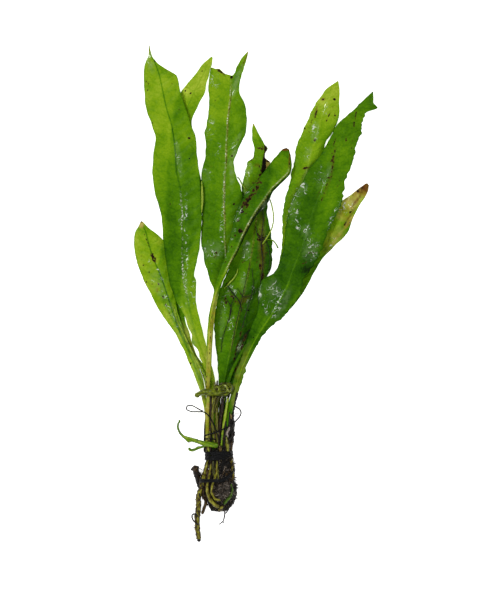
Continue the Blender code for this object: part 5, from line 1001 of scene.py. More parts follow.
def makeLeaf(name, shape, look, outlines, seed):
    # ring columns run over the upper side from left edge to right edge, and back on the underside
    g = leafGrid
    at, left, middle, right, radius, bladeness = leafLine(shape, g["stations"])
    t = np.linspace(-1, 1, 2 * g["halfColumns"] + 1)[None, :]
    u = bladeness * np.sign(t) * np.abs(t) ** 1.5 + (1 - bladeness) * np.sin(t * np.pi / 2)
    edge = np.where(u[..., None] < 0, left[:, None], right[:, None])
    spread = edge - middle[:, None]
    size = np.abs(u)
    x = middle[:, None, 0] + spread[..., 0] * size
    y = middle[:, None, 1] + spread[..., 1] * size
    z = middle[:, None, 2] + spread[..., 2] * (0.6 * size + 0.4 * size**2)
    reach = np.linalg.norm(spread, axis=2) * size
    side = np.where(u < 0, -1.0, 1.0)

    along = at[:, None] + 0 * u
    tip = np.clip((at[-1] - at) / 12, 0, 1)[:, None] * bladeness
    first, second = g["waves"]
    wave = ripples(along / first * 10 + 40 * side, seed + 0 * u, 10, seed) + 0.6 * ripples(along / second * 10 + 40 * side, 0 * u, 10, seed + 1)
    z = z + look["ruffle"] * wave * size**2.2 * tip
    slant = along - 0.7 * reach
    quilt = np.sin(slant * 2 * np.pi / g["quiltEvery"] + 1.5 * ripples(x, y, 22, seed + 2))
    z = z + g["quilt"] * quilt * np.sin(np.pi * np.clip(size, 0, 1)) * tip
    z = z + 0.05 * ripples(x, y, 2.6, seed + 3) * bladeness * np.minimum(1, reach / 0.8)
    fray = np.where(u < 0, *look.get("fray", (0.13, 0.13)))
    crimp = look.get("frayEvery", 5.5)
    rim = ripples(along, 15 * side, crimp, seed + 4) + 0.25 * ripples(along, 15 * side, crimp / 2.4, seed + 6)
    rim = fray * rim * size**4 * tip
    x = x + side * rim
    for across, down, reached, shiftX, shiftY in look.get("dents", []):
        near = np.exp(-(ovalReach(x, y, (across, down, reached, reached, 0)) ** 2)) * size**2
        x, y = x + shiftX * pixel * near, y - shiftY * pixel * near

    beaded, bead = np.zeros(u.shape), np.zeros(u.shape)
    rows = (sheetHigh - y) / pixel
    string = along * 2 * np.pi / g["beadEvery"] + 3.2 * ripples(along, 3 * side, 5, seed + 5) + 1.4 * side
    string = (0.5 + 0.5 * np.sin(string)) * np.clip(0.62 + 0.5 * ripples(along, 7 * side, 5, seed + 8), 0, 1)
    for spec in look.get("beadsAndGlints", []):
        top, bottom = spec["rows"]
        fade = np.clip((rows - top) / 12, 0, 1) * np.clip((bottom - rows) / 12, 0, 1)
        near = np.exp(-((reach / spec["wide"]) ** 4)) * fade * spec["cover"]
        low, high = (np.where(u < 0, *pair) for pair in zip(spec["left"], spec["right"]))
        bead = low + (high - low) * string
        near = near * np.clip(0.75 + 0.6 * ripples(along, 9 * side, 14, seed + 20), 0.2, 1)
        beaded = near * np.clip(string * 2 - 0.5, 0, 1) if spec.get("open") else near

    dome = np.sqrt(np.clip(radius**2 - reach**2, 0, None))
    blade = (g["edgeHalf"] + (g["bladeHalf"] - g["edgeHalf"]) * (1 - size**4)) * bladeness + 0.03
    over = ((dome * (1 - (1 - g["ribOver"]) * bladeness)) ** 3 + blade**3) ** (1 / 3)
    under = (dome**3 + blade**3) ** (1 / 3)
    upper = z + over + g["beadHigh"] * beaded * string
    lower = np.maximum(z - under, 0.03)
    upper = np.maximum(upper, lower + 0.05)
    points = np.stack(
        [np.hstack([x, x[:, ::-1]]), np.hstack([y, y[:, ::-1]]), np.hstack([upper, lower[:, ::-1]])], axis=-1
    )

    # painted shade: each blade is painted darker where other blades lie beneath it, standing in for the light from
    # below that they hold back
    covers = sum(insideOutline(x, y, outline).astype(float) for outline in outlines) if outlines else 0 * x
    covers = np.broadcast_to(covers, x.shape).astype(float)
    for _ in range(2):
        covers = (covers + np.roll(covers, 1, 0) + np.roll(covers, -1, 0)) / 3
        covers[:, 1:-1] = (covers[:, 1:-1] + covers[:, 2:] + covers[:, :-2]) / 3
    stops = np.array(look["tones"])
    soft = 0.5 + 0.5 * np.clip(side * reach / 1.2, -1, 1)  # from the left tone to the right one over the midrib
    leftTone, rightTone = np.interp(rows, stops[:, 0], stops[:, 1]), np.interp(rows, stops[:, 0], stops[:, 2])
    tones = leftTone + (rightTone - leftTone) * soft
    paintedUnderShade = g["underShadeFirst"] * np.minimum(covers, 1) + g["underShadeMore"] * np.clip(covers - 1, 0, 2)
    tones = tones - look.get("cover", 1.0) * paintedUnderShade * bladeness
    rib = np.array(look["rib"])
    ribTone, ribWide = np.interp(rows, rib[:, 0], rib[:, 1]), np.interp(rows, rib[:, 0], rib[:, 2])
    tones = tones + ribTone * np.exp(-((reach / ribWide) ** 2)) - g["rimDark"] * size**24 * bladeness
    for mark in look.get("shade", []):
        tones = tones + mark[5] * np.exp(-0.7 * ovalReach(x, y, mark) ** 2)
    shares = {"tone": tones + 0.035 * ripples(x, y, 13, seed + 18), "bead": bead, "beaded": beaded}
    shares["dead"] = marked(x, y, look.get("dead", []), seed + 10, 0.6, (1.0, 0.0, 0.12))
    shares["tan"] = marked(x, y, look.get("tan", []), seed + 12, 0.6, (0.9, 0.3, 0.2))
    shares["rust"] = marked(x, y, look.get("rust", []), seed + 13, 0.6, (0.9, 0.2, 0.3))
    # painted sheen marks, which also lay a clear coat
    shares["film"] = marked(x, y, look.get("film", []), seed + 14, 0.9, (0.6, 0.5, 0.3))
    # wet marks: a clear coat, and painted highlight strokes
    shares["wet"] = marked(x, y, look.get("wet", []), seed + 16, 0.7, (0.8, 0.5, 0.2))
    shares["specks"] = look["specks"] * 0.35 * np.ones(x.shape)
    shares = {word: np.hstack([values, values[:, ::-1]]) for word, values in shares.items()}
    grain = np.stack([side * reach, along], axis=-1) / 10
    grain = np.concatenate([grain, grain[:, ::-1]], axis=1)
    faces = gridFaces(len(at), 2 * t.shape[1])
    replaced = () if name == "leaf_small_dark" else [name]
    addPiece(name + "_blade", points, faces, grain, bladeMaterials[look["slot"]], replaced, shares)
    return np.vstack([left[::6, :2], right[::-6, :2]])


outlines = []
for order, leafName in enumerate(leafOrder):
    outlines.append(makeLeaf(leafName, leafShapes[leafName], leafLooks[leafName], outlines, 100 * order + 7))
print("leaves made")


def smoothLine(route, spacing):
    # a smooth curve through the route's points at even steps, with the radius as the last column
    route = np.array(route, float)
    places = distances(route[:, :3])
    count = max(8, int(places[-1] / spacing) + 1)
    at = np.linspace(0, places[-1], count)
    return at, glide(places, route, at, limited=False)


def tubeRings(line, radius, sides, upright=(0.0, 0.0, 1.0), sideways=1.0):
    # a ring round each point of the line, square to its run; radius may differ from point to point and round the ring
    run = np.gradient(line, axis=0)
    run /= np.linalg.norm(run, axis=1)[:, None]
    across = np.cross(run, np.array(upright))
    across /= np.linalg.norm(across, axis=1)[:, None]
    over = np.cross(across, run)
    turn = np.arange(sides) * 2 * np.pi / sides
    ring = across[:, None] * np.cos(turn)[None, :, None] * sideways + over[:, None] * np.sin(turn)[None, :, None]
    return line[:, None] + ring * radius[..., None], turn


def makeGrowth(name, spec, material, replaced, seed):
    # a round strand along its route, swollen by warts and lengthwise ridges, closed at both ends
    at, line = smoothLine(spec["route"], spec.get("step", 0.3))
    sides = spec.get("sides", 16)
    turn = np.arange(sides) * 2 * np.pi / sides
    along = at[:, None] + 0 * turn
    girth = line[:, 3:] + 0 * turn
    warts = ripples(along, 3 * np.cos(turn) * girth, spec.get("wartWide", 2.0), seed)
    warts = warts + 0.7 * ripples(along, 3 * np.sin(turn) * girth, spec.get("wartWide", 2.0), seed + 1)
    ridges = np.cos(turn * spec.get("ridges", 5) + 0.8 * ripples(along, 0 * along, 14, seed + 2))
    swell = 1 + spec.get("warts", 0.06) * warts + spec.get("ridge", 0.03) * ridges
    for place, long, facing, high in spec.get("swellings", []):
        swell = swell + high * np.exp(-(((along - place) / long) ** 2)) * np.clip(np.cos(turn - np.radians(facing)), 0, 1) ** 2
    ends = np.clip(np.minimum(at, at[-1] - at) / np.maximum(line[:, 3], 0.1), 0, 1)
    closing = np.sqrt(np.clip(1 - (1 - ends) ** 2, 0.05, 1))[:, None]
    points, _ = tubeRings(line[:, :3], girth * swell * closing, sides, spec.get("upright", (0, 0, 1)))
    points[..., 2] = np.maximum(points[..., 2], 0.02)
    grain = np.stack([turn[None, :] * girth, along], axis=-1) / 10
    tone = np.full(along.shape, spec.get("tone", 0.0)) + 0.5 * warts * spec.get("warts", 0.06)
    tone = tone - spec.get("paintedSideShade", 0.14) * (1 - np.clip(np.sin(turn), 0, 1) ** 0.7)  # painted shade: darker down both sides and underneath, lightest along the top
    if "tones" in spec:
        stops = np.array(spec["tones"])
        tone = tone + np.interp(along, stops[:, 0], stops[:, 1])
    addPiece(name, points, gridFaces(len(at), sides), grain, material, replaced, {"tone": tone})


# Points along the middle of each strand: x, y, height and radius
strandRoutes = {
    "stalk_bright": [
        (111.0, 76.2, 7.0, 0.75), (111.2, 80.0, 7.1, 0.75), (111.7, 86.0, 7.3, 0.8), (112.4, 91.0, 7.5, 0.8),
        (113.2, 96.0, 7.4, 0.75), (114.1, 101.5, 6.9, 0.65),
    ],
    "stalk_slim": [
        (108.6, 86.0, 6.5, 0.35), (109.0, 90.0, 6.6, 0.5), (109.9, 94.0, 6.7, 0.55), (111.0, 97.6, 6.8, 0.5),
        (112.3, 101.2, 6.7, 0.4),
    ],
    "stalk_dead": [
        (115.9, 78.8, 5.6, 0.6), (116.0, 83.0, 5.7, 1.0), (116.0, 88.0, 5.6, 1.0), (116.2, 94.0, 5.5, 0.8),
        (117.5, 99.0, 5.4, 0.5), (119.0, 103.6, 5.2, 0.4),
    ],
    "side_shoot": [
        (97.3, 102.2, 7.6, 0.45), (98.2, 102.5, 7.9, 0.8), (100.2, 103.6, 8.8, 0.85),
        (102.6, 104.2, 9.7, 1.15), (105.6, 104.1, 9.9, 1.25), (108.0, 103.7, 9.7, 1.1),
    ],
    "sprout_long": [
        (109.2, 77.4, 9.2, 0.9), (106.0, 78.0, 9.6, 1.1), (102.2, 78.6, 9.4, 1.0), (98.5, 79.7, 7.6, 0.85),
        (95.0, 80.6, 5.4, 0.85), (92.0, 81.6, 3.6, 0.65), (90.0, 83.5, 2.2, 0.5), (88.9, 86.2, 1.2, 0.45),
        (89.1, 88.2, 0.7, 0.4), (89.7, 89.3, 0.6, 0.4), (89.3, 90.0, 0.6, 0.35),
    ],
    "sprout_short": [
        (101.3, 76.9, 8.2, 0.4), (99.2, 76.3, 7.1, 0.5), (97.2, 75.3, 5.6, 0.5), (95.6, 75.0, 4.4, 0.5),
        (94.7, 75.6, 3.6, 0.5), (94.6, 76.3, 3.2, 0.4),
    ],
    "runner_arched": [
        (135.0, 200.4, 2.6, 0.3), (136.2, 196.0, 2.5, 0.35), (136.8, 191.0, 2.3, 0.35),
        (136.0, 186.0, 2.4, 0.35), (133.4, 181.2, 2.4, 0.35), (131.2, 177.8, 2.3, 0.3),
    ],
    "runner_hooked": [
        (132.8, 180.0, 1.7, 0.3), (134.6, 180.2, 1.8, 0.3), (136.4, 179.8, 1.9, 0.35),
        (138.0, 178.0, 1.7, 0.35), (139.1, 175.8, 1.2, 0.45),
    ],
    "runner_small": [
        (118.6, 211.6, 2.4, 0.28), (119.6, 210.6, 2.4, 0.3), (121.0, 208.0, 2.1, 0.3),
        (123.0, 205.4, 2.2, 0.3), (124.8, 203.8, 2.3, 0.25),
    ],
    "rootlet_green": [
        (112.0, 155.6, 2.1, 0.25), (114.2, 158.0, 2.1, 0.4), (116.6, 160.6, 2.1, 0.4),
        (118.2, 163.0, 2.1, 0.35), (119.0, 165.6, 2.1, 0.25),
    ],
    "rhizome_long": [
        (103.8, 74.4, 4.9, 0.78), (103.8, 70.0, 4.9, 0.8), (103.0, 66.0, 4.9, 0.95), (101.8, 61.5, 4.9, 0.95),
        (101.0, 57.5, 4.3, 1.05), (99.3, 52.0, 3.0, 1.15), (99.2, 46.0, 2.2, 1.25), (98.6, 41.0, 1.6, 1.25),
        (98.7, 36.0, 1.3, 1.2), (99.1, 32.5, 1.25, 1.15), (99.5, 29.9, 1.25, 1.15),
    ],
    "rhizome_stub": [
        (97.0, 67.4, 4.6, 0.5), (97.2, 66.9, 4.5, 1.25), (97.9, 64.6, 3.9, 1.3), (98.6, 61.4, 3.0, 1.05),
        (99.1, 58.2, 1.4, 0.75), (99.4, 55.8, 0.9, 0.45),
    ],
    "root_tan": [
        (102.7, 51.8, 2.6, 0.45), (102.9, 49.4, 2.2, 0.5), (102.4, 46.6, 1.6, 0.5), (101.6, 44.4, 1.0, 0.5),
        (101.0, 42.6, 0.7, 0.35),
    ],
    "root_loop": [
        (99.2, 41.6, 3.3, 0.2), (97.6, 43.0, 3.4, 0.25), (96.4, 42.8, 2.6, 0.25), (96.0, 41.4, 2.0, 0.25),
        (96.6, 39.8, 2.6, 0.25), (97.9, 38.6, 3.3, 0.25), (99.3, 37.4, 3.1, 0.2),
    ],
    "root_fine_bottom": [
        (112.2, 44.9, 0.5, 0.2), (112.4, 43.2, 0.45, 0.25), (112.0, 40.6, 0.4, 0.25),
        (111.5, 39.2, 0.35, 0.25), (110.4, 38.2, 0.3, 0.2), (109.2, 37.4, 0.3, 0.15),
    ],
    "root_fine_fork": [
        (114.6, 46.4, 1.0, 0.2), (114.2, 45.0, 0.8, 0.22), (113.5, 44.0, 0.6, 0.22), (112.95, 43.0, 0.5, 0.2),
    ],
}

# Points along each thread
threadRoutes = {
    "thread_left_loop": [
        (110.4, 78.9, 8.6), (109.4, 81.6, 8.5), (108.1, 85.0, 8.55), (106.6, 88.6, 8.75), (105.4, 91.0, 8.8),
        (104.0, 92.8, 8.75), (102.2, 94.1, 7.8), (99.0, 94.3, 6.6), (95.2, 94.5, 5.6), (93.3, 95.6, 5.2),
        (93.6, 97.0, 5.2), (95.4, 97.4, 5.5), (98.2, 96.3, 6.0), (100.6, 95.0, 6.5), (101.5, 94.7, 6.6),
    ],
    "thread_right_loop": [
        (117.6, 96.9, 6.8), (118.7, 96.3, 6.5), (119.9, 95.4, 6.1), (120.5, 93.8, 5.8), (119.8, 91.8, 5.9),
        (118.4, 90.2, 6.3), (116.8, 88.6, 7.0), (114.8, 87.2, 8.5), (112.2, 86.0, 8.75), (109.6, 84.9, 9.3),
        (106.8, 83.8, 9.1), (104.4, 83.1, 8.6), (102.5, 82.5, 7.9),
    ],
    "thread_lower_stray": [
        (102.8, 80.9, 8.0), (104.4, 80.9, 8.45), (106.8, 80.8, 8.55), (109.0, 80.2, 7.7), (111.3, 80.2, 8.25),
    ],
}

# Material, slot, how light it is, and how warty and ridged each strand is
strandLooks = {
    "stalk_bright": {"material": "greenStalk", "slot": "stalk_green", "tone": 0.2, "ridge": 0.05},
    "stalk_slim": {"material": "greenStalk", "slot": "stalk_green", "tone": 0.14, "ridge": 0.05},
    "stalk_dead": {"material": "blackRoot", "slot": "root_black", "warts": 0.34, "wartWide": 1.5, "ridge": 0.12},
    "side_shoot": {
        "material": "wartyShoot", "slot": "stalk_green", "warts": 0.1, "wartWide": 1.8, "tone": 0.06, "plump": 1.4,
        "after": [(109.8, 103.8, 9.5, 1.05), (111.4, 104.4, 9.3, 0.8)], "tones": [(0, 0.08), (4, 0.0)],
    },
    "sprout_long": {
        "material": "greenStalk", "slot": "stalk_green", "tone": -0.01, "ridge": 0.04, "plump": 1.2,
        "swellings": [(16.4, 1.4, 200, 1.1)],
        "tones": [(0, 0.0), (4, 0.06), (14, 0.08), (17, 0.1), (20, -0.02), (26, -0.06), (30, 0.05)],
    },
    "sprout_short": {
        "material": "greenStalk", "slot": "stalk_green", "tone": 0.0, "plump": 1.45, "before": [(104.0, 78.0, 9.0, 0.5), (102.8, 77.6, 8.8, 0.5)],
    },
    "runner_arched": {"material": "greenStalk", "slot": "stalk_green", "tone": 0.22, "sides": 10},
    "runner_hooked": {"material": "greenStalk", "slot": "stalk_green", "tone": 0.08, "sides": 10},
    "runner_small": {"material": "greenStalk", "slot": "stalk_green", "tone": 0.12, "sides": 10},
    "rootlet_green": {"material": "greenStalk", "slot": "stalk_green", "tone": 0.2, "sides": 10},
    "rhizome_long": {
        "material": "scalyRhizome", "slot": "rhizome", "warts": 0.13, "wartWide": 2.4, "paintedSideShade": 0.34, "plump": 1.14,
        "tones": [(0, 0.02), (24, 0.02), (30, -0.06), (36, -0.02), (46, 0.02)],
    },
    "rhizome_stub": {
        "material": "brownRoot", "slot": "root_brown", "warts": 0.16, "wartWide": 1.3, "plump": 1.25,
        "tones": [(0, 0.04), (2.5, 0.02), (5, -0.06), (12, -0.1)],
    },
    "root_tan": {"material": "brownRoot", "slot": "root_brown", "tone": 0.14, "warts": 0.14, "plump": 1.6},
    "root_loop": {"material": "blackRoot", "slot": "root_black", "sides": 8, "warts": 0.15, "wartWide": 1.0, "plump": 1.5},
    "root_fine_bottom": {"material": "blackRoot", "slot": "root_black", "sides": 8, "warts": 0.1, "plump": 1.25},
    "root_fine_fork": {"material": "blackRoot", "slot": "root_black", "sides": 8, "warts": 0.1, "plump": 1.25},
}
for order, (strandName, route) in enumerate(strandRoutes.items()):
    look = strandLooks[strandName]
    route = np.array(look.get("before", []) + route + look.get("after", []))
    route[:, 3] *= look.get("plump", 1.0)
    spec = {**look, "route": route}
    makeGrowth(strandName + "_growth", spec, growthMaterials[look["material"]], [strandName], 1000 + order)
print("stalks, shoots and rhizomes made")


rootMat = {
    # y, middle x, half width, middle height, half height, from the stalks down
    "sections": [
        (75.5, 110.3, 4.9, 4.9, 3.8), (74.4, 110.4, 5.3, 4.9, 3.9), (70.2, 110.4, 5.3, 4.9, 3.9),
        (68.4, 110.7, 5.8, 4.5, 4.2), (65.6, 110.8, 5.7, 4.7, 3.7), (62.6, 110.4, 6.1, 4.7, 3.6),
        (59.6, 110.4, 6.2, 4.7, 3.7), (57.6, 110.8, 6.8, 3.9, 4.6), (53.4, 110.9, 7.0, 3.8, 4.8),
        (49.6, 110.4, 6.2, 3.6, 4.4), (47.0, 110.0, 5.0, 3.4, 3.6), (44.4, 109.6, 2.4, 2.6, 2.2),
    ],
    "rows": 130, "sides": 110, "shrink": 0.94,
    "olive": [(233, 466, 2, 8, 0, 0.8), (206, 465, 2, 7, 0, 0.5), (226, 470, 2, 6, 10, 0.4), (221, 510, 4, 3, 0, 0.7)],
}
# Roots on the mat: how many, where they start round it and along it, how long and thick, how far they drift and stray
matRoots = {
    "root_mat_fibres": {
        "count": 560, "points": 10, "sides": 4, "turn": (0, 2 * np.pi), "y": (48, 78), "long": (4, 14), "radius": (0.08, 0.22),
        "drift": 0.4, "lift": (-0.1, 0.5), "stray": 1.4, "tone": (-0.08, 0.14), "material": "brownRoot", "slot": "root_brown", "seed": 41,
    },
    "root_mat_black_fibres": {
        "count": 360, "points": 10, "sides": 4, "turn": (-0.4, np.pi + 0.4), "y": (46, 78), "long": (3, 11), "radius": (0.08, 0.24),
        "drift": 0.7, "lift": (-0.1, 0.6), "stray": 2.0, "tone": (0.0, 0.1), "material": "blackRoot", "slot": "root_black", "seed": 42,
    },
    "root_mat_scales": {
        "count": 620, "points": 5, "sides": 5, "turn": (-0.6, np.pi + 0.6), "y": (46, 74), "long": (0.7, 2.2), "radius": (0.16, 0.42),
        "drift": 1.2, "lift": (-0.1, 0.35), "stray": 1.0, "tone": (-0.08, 0.19), "material": "brownRoot", "slot": "root_brown", "seed": 43,
    },
    "root_mat_rags": {
        "count": 110, "points": 8, "sides": 6, "turn": (-0.5, 0.7), "y": (49, 74), "long": (0.8, 2.6), "radius": (0.2, 0.5),
        "drift": 0.9, "lift": (-0.1, 0.5), "stray": 1.8, "tone": (-0.05, 0.12), "material": "blackRoot", "slot": "root_black", "seed": 45,
    },
    "root_mat_flecks": {
        "count": 90, "points": 5, "sides": 4, "turn": (0.6, 2.2), "y": (50, 72), "long": (0.6, 2.0), "radius": (0.06, 0.16),
        "drift": 1.2, "lift": (0.4, 0.8), "stray": 0.6, "tone": (-0.1, 0.12), "material": "paperScrap", "slot": "root_brown", "seed": 46,
    },
    "root_mat_wool": {
        "count": 150, "points": 9, "sides": 4, "turn": (0.95, 1.75), "y": (52, 60.5), "long": (1.5, 5.0), "radius": (0.12, 0.3),
        "drift": 1.4, "lift": (0.1, 0.8), "stray": 0.4, "tone": (0.02, 0.12), "material": "greyWool", "slot": "root_brown", "seed": 44,
    },
}


def matSection(y):
    sections = np.array(rootMat["sections"])[::-1]
    return [np.interp(y, sections[:, 0], sections[:, k]) for k in range(1, 5)]


def onMat(y, turn, lift):
    # the point that far outside the mat's oval section at y, at this turn round it
    middle, wide, height, high = matSection(y)
    return middle + (wide + lift) * np.cos(turn), np.maximum(0.1, height + (high + lift) * np.sin(turn))


def makeRootCore(spec):
    y = np.linspace(spec["sections"][0][0], spec["sections"][-1][0], spec["rows"])[:, None]
    turn = (np.arange(spec["sides"]) * 2 * np.pi / spec["sides"])[None, :]
    middle, wide, height, high = matSection(y)
    strands = np.abs(ripples(turn * 14, y * 0.5, 6, 31))
    swell = spec["shrink"] + 0.05 * ripples(turn * 6, y, 3.2, 30) + 0.035 * ripples(turn * 6, y, 1.2, 32) - 0.05 * strands
    swell = swell + 0.05 * np.exp(-(((y - 55.5) / 3.0) ** 2 + ((turn - 1.35) / 0.5) ** 2))  # the grey wad
    x = middle + wide * swell * np.cos(turn)
    z = np.maximum(0.05, height + high * swell * np.sin(turn))
    yy = y + 0 * turn
    points = np.stack([x, yy, z], axis=-1)
    tone = 0.12 * ripples(turn * 8, y, 2.5, 33) + 0.3 * marked(x, yy, spec["olive"], 34) - 0.12
    grain = np.stack([turn * wide, yy], axis=-1) / 10
    faces = gridFaces(spec["rows"], spec["sides"])
    addPiece("root_mat_core", points, faces, grain, growthMaterials["brownRoot"], ["root_mat"], {"tone": tone})


def makeFibres(name, spec):
    # every fibre at once: it starts at a turn round the mat and a y, drifts along both, and lifts off towards its end
    draw = np.random.default_rng(spec["seed"])
    count = spec["count"]
    steps = np.linspace(0, 1, spec["points"])[None, :]
    turn = draw.uniform(*spec["turn"], (count, 1))
    top = draw.uniform(*spec["y"], (count, 1))
    long = draw.uniform(*spec["long"], (count, 1))
    slant = draw.normal(0, spec["drift"], (count, 1))
    sway = draw.uniform(0.02, 0.16, (count, 1)) * np.minimum(1, long / 4)
    phase = draw.uniform(0, 6.3, (count, 1))
    down = top - long * steps * np.cos(slant)
    low, high = rootMat["sections"][-1][0] + 0.3, rootMat["sections"][0][0] + 3.0
    y = np.clip(down, low, high)
    angle = turn + long * steps * np.sin(slant) / 6 + sway * np.sin(phase + 7 * steps)
    rise = draw.uniform(*spec["lift"], (count, 1)) + spec["stray"] * draw.uniform(0, 1, (count, 1)) ** 4 * steps**2
    y = y + 0.25 * np.minimum(1, long / 4) * np.sin(phase * 3 + 9 * steps)
    x, z = onMat(y, angle, rise)
    line = np.stack([x, y, z], axis=-1)
    run = np.gradient(line, axis=1)
    run /= np.maximum(np.linalg.norm(run, axis=2), 1e-6)[..., None]
    out = np.stack([np.cos(angle), 0 * angle, np.sin(angle)], axis=-1)
    across = np.cross(run, out)
    across /= np.maximum(np.linalg.norm(across, axis=2), 1e-6)[..., None]
    out = np.cross(across, run)
    radius = draw.uniform(*spec["radius"], (count, 1)) * (1 - 0.7 * steps**3)
    sides = spec["sides"]
    ring = np.arange(sides) * 2 * np.pi / sides
    points = line[:, :, None] + radius[:, :, None, None] * (
        across[:, :, None] * np.cos(ring)[:, None] + out[:, :, None] * np.sin(ring)[:, None]
    )
    points[..., 2] = np.maximum(points[..., 2], 0.02)
    one = gridFaces(spec["points"], sides)
    faces = (one[None] + np.arange(count)[:, None, None] * spec["points"] * sides).reshape(-1, 4)
    tone = np.broadcast_to(draw.normal(*spec["tone"], (count, 1, 1)), points.shape[:3])
    tone = tone + 0.35 * marked(points[..., 0], points[..., 1], rootMat["olive"], 35)
    grain = np.stack([ring[None, None] * radius[..., None], np.broadcast_to((long * steps)[..., None], points.shape[:3])], axis=-1)
    addPiece(name, points, faces, grain / 10, growthMaterials[spec["material"]], (), {"tone": tone})


makeRootCore(rootMat)
for rootsName, spec in matRoots.items():
    makeFibres(rootsName, spec)

# What lies on the mat: x, y and radius along each strand; its height follows the mat
bentRhizomes = {
    "rhizome_bent_outer": {
        "line": [
            (105.6, 68.6, 0.45), (105.0, 64.0, 0.6), (103.9, 59.5, 0.7), (103.7, 55.2, 0.8),
            (104.8, 51.4, 0.9), (106.8, 48.6, 1.0), (109.6, 46.8, 1.0),
        ],
        "material": "scalyRhizome", "slot": "rhizome", "warts": 0.08, "wartWide": 2.4, "tone": 0.06, "paintedSideShade": 0.26, "replaced": True,
    },
    "rhizome_bent_inner": {
        "line": [
            (108.4, 69.2, 0.45), (108.3, 64.0, 0.6), (106.9, 60.0, 0.6), (106.0, 56.4, 0.65),
            (106.4, 53.0, 0.7), (108.0, 51.0, 0.7), (110.4, 50.2, 0.5),
        ],
        "material": "scalyRhizome", "slot": "rhizome", "warts": 0.08, "wartWide": 2.4, "tone": 0.06, "paintedSideShade": 0.26, "replaced": True,
    },
    "rhizome_green_tip": {
        "line": [(115.4, 58.4, 0.4), (116.2, 55.4, 0.55), (115.4, 52.4, 0.7), (113.2, 50.2, 0.85), (112.0, 48.2, 0.7)],
        "material": "greenStalk", "slot": "stalk_green", "warts": 0.14, "tone": -0.16, "paintedSideShade": 0.3, "replaced": True,
    },
    "rhizome_bent_third": {
        "line": [(106.2, 58.2, 0.5), (106.5, 54.5, 0.6), (107.6, 52.4, 0.45)],
        "material": "scalyRhizome", "slot": "rhizome", "warts": 0.14, "tone": -0.1,
    },
    "mat_stalk_olive": {
        "line": [(106.7, 70.2, 0.5), (106.9, 65.0, 0.7), (107.3, 60.4, 0.5)],
        "material": "oldStalk", "slot": "rhizome", "warts": 0.1, "tone": -0.12,
    },
    "mat_stalk_green": {
        "line": [(108.5, 70.2, 0.4), (108.8, 65.0, 0.5), (109.2, 60.2, 0.4)],
        "material": "oldStalk", "slot": "stalk_green", "warts": 0.08, "tone": 0.0,
    },
    "mat_lump_right": {
        "line": [(115.6, 71.5, 0.5), (116.3, 68.0, 0.8), (116.0, 65.4, 0.6), (116.7, 62.4, 0.85), (116.3, 60.0, 0.4)],
        "material": "scalyRhizome", "slot": "rhizome", "warts": 0.14, "wartWide": 2.2, "tone": -0.1,
    },
    "mat_stem_left": {
        "line": [(103.7, 70.2, 0.7), (103.5, 67.0, 0.8), (103.9, 63.4, 0.8), (104.3, 60.6, 0.6)],
        "material": "brownRoot", "slot": "rhizome", "warts": 0.14, "wartWide": 1.8, "tone": 0.18, "tones": [(0, 0.14), (3, 0.06), (5, -0.04), (9, -0.08)],
    },
    "mat_lump_low": {
        "line": [(111.4, 47.6, 0.6), (110.4, 46.0, 0.95), (109.6, 44.6, 0.5)],
        "material": "scalyRhizome", "slot": "rhizome", "warts": 0.2, "tone": -0.02,
    },
}
matClear = 0.35  # the solids' gap between a rhizome and the mat
for order, (rhizomeName, look) in enumerate(bentRhizomes.items()):
    x, y, radius = np.array(look["line"]).T
    middle, wide, height, high = matSection(y)
    clear = radius + matClear
    lean = np.clip((x - middle) / (wide * 1.04 + clear), -1, 1)
    z = height + (high * 1.04 + clear) * np.sqrt(1 - lean**2) - 0.3
    spec = {**look, "route": np.column_stack([x, y, z, radius])}
    replaced = [rhizomeName] if look.get("replaced") else []
    makeGrowth(rhizomeName + "_growth", spec, growthMaterials[look["material"]], replaced, 1100 + order)
print("roots made")

rolledFrond = {
    "middle": (112.3, 105.9, 9.2), "start": -128, "turns": 2.3, "outer": 3.7, "inner": 0.5,
    "flat": 0.76, "radius": (1.05, 0.8), "rise": 0.9, "points": 60,
    "material": "wartyShoot", "slot": "stalk_green", "warts": 0.14, "wartWide": 2.6, "ridge": 0.14, "ridges": 4, "tone": 0.02,
    "sides": 24, "paintedSideShade": 0.42, "wobble": 0.45,
}
along = np.linspace(0, 1, rolledFrond["points"])
angle = np.radians(rolledFrond["start"]) + 2 * np.pi * rolledFrond["turns"] * along
coil = rolledFrond["outer"] + (rolledFrond["inner"] - rolledFrond["outer"]) * along
coil = coil + rolledFrond["wobble"] * np.sin(3 * angle) * (1 - along)
frondRoute = np.column_stack(
    [
        rolledFrond["middle"][0] + coil * np.cos(angle),
        rolledFrond["middle"][1] + coil * np.sin(angle) * rolledFrond["flat"],
        rolledFrond["middle"][2] + rolledFrond["rise"] * along,
        rolledFrond["radius"][0] + (rolledFrond["radius"][1] - rolledFrond["radius"][0]) * along,
    ]
)
makeGrowth(
    "frond_coiled_growth", {**rolledFrond, "route": frondRoute}, growthMaterials["wartyShoot"],
    ["frond_coiled"], 1200,
)

sewingThread = {"radius": 0.34, "ply": 0.16, "plyPitch": 1.3, "sides": 12, "step": 0.16}


def makeThread(name, line, replaced, upright=(0.0, 0.0, 1.0)):
    # a round thread whose three plies wind round it: the radius swells three times a turn, and the swellings advance
    s = sewingThread
    at = distances(line)
    sides = s["sides"]
    turn = np.arange(sides) * 2 * np.pi / sides
    along = at[:, None] + 0 * turn
    plies = 1 + s["ply"] * np.abs(np.cos(1.5 * (turn - along * 2 * np.pi / s["plyPitch"]))) - s["ply"]
    points, _ = tubeRings(line, s["radius"] * plies, sides, upright)
    points[..., 2] = np.maximum(points[..., 2], 0.02)
    grain = np.stack([turn[None] * s["radius"] + 0 * along, along], axis=-1) / 10
    addPiece(name, points, gridFaces(len(line), sides), grain, growthMaterials["blackThread"], [replaced])


for threadName, route in threadRoutes.items():
    _, line = smoothLine(route, sewingThread["step"])
    makeThread(threadName + "_thread", line, threadName)

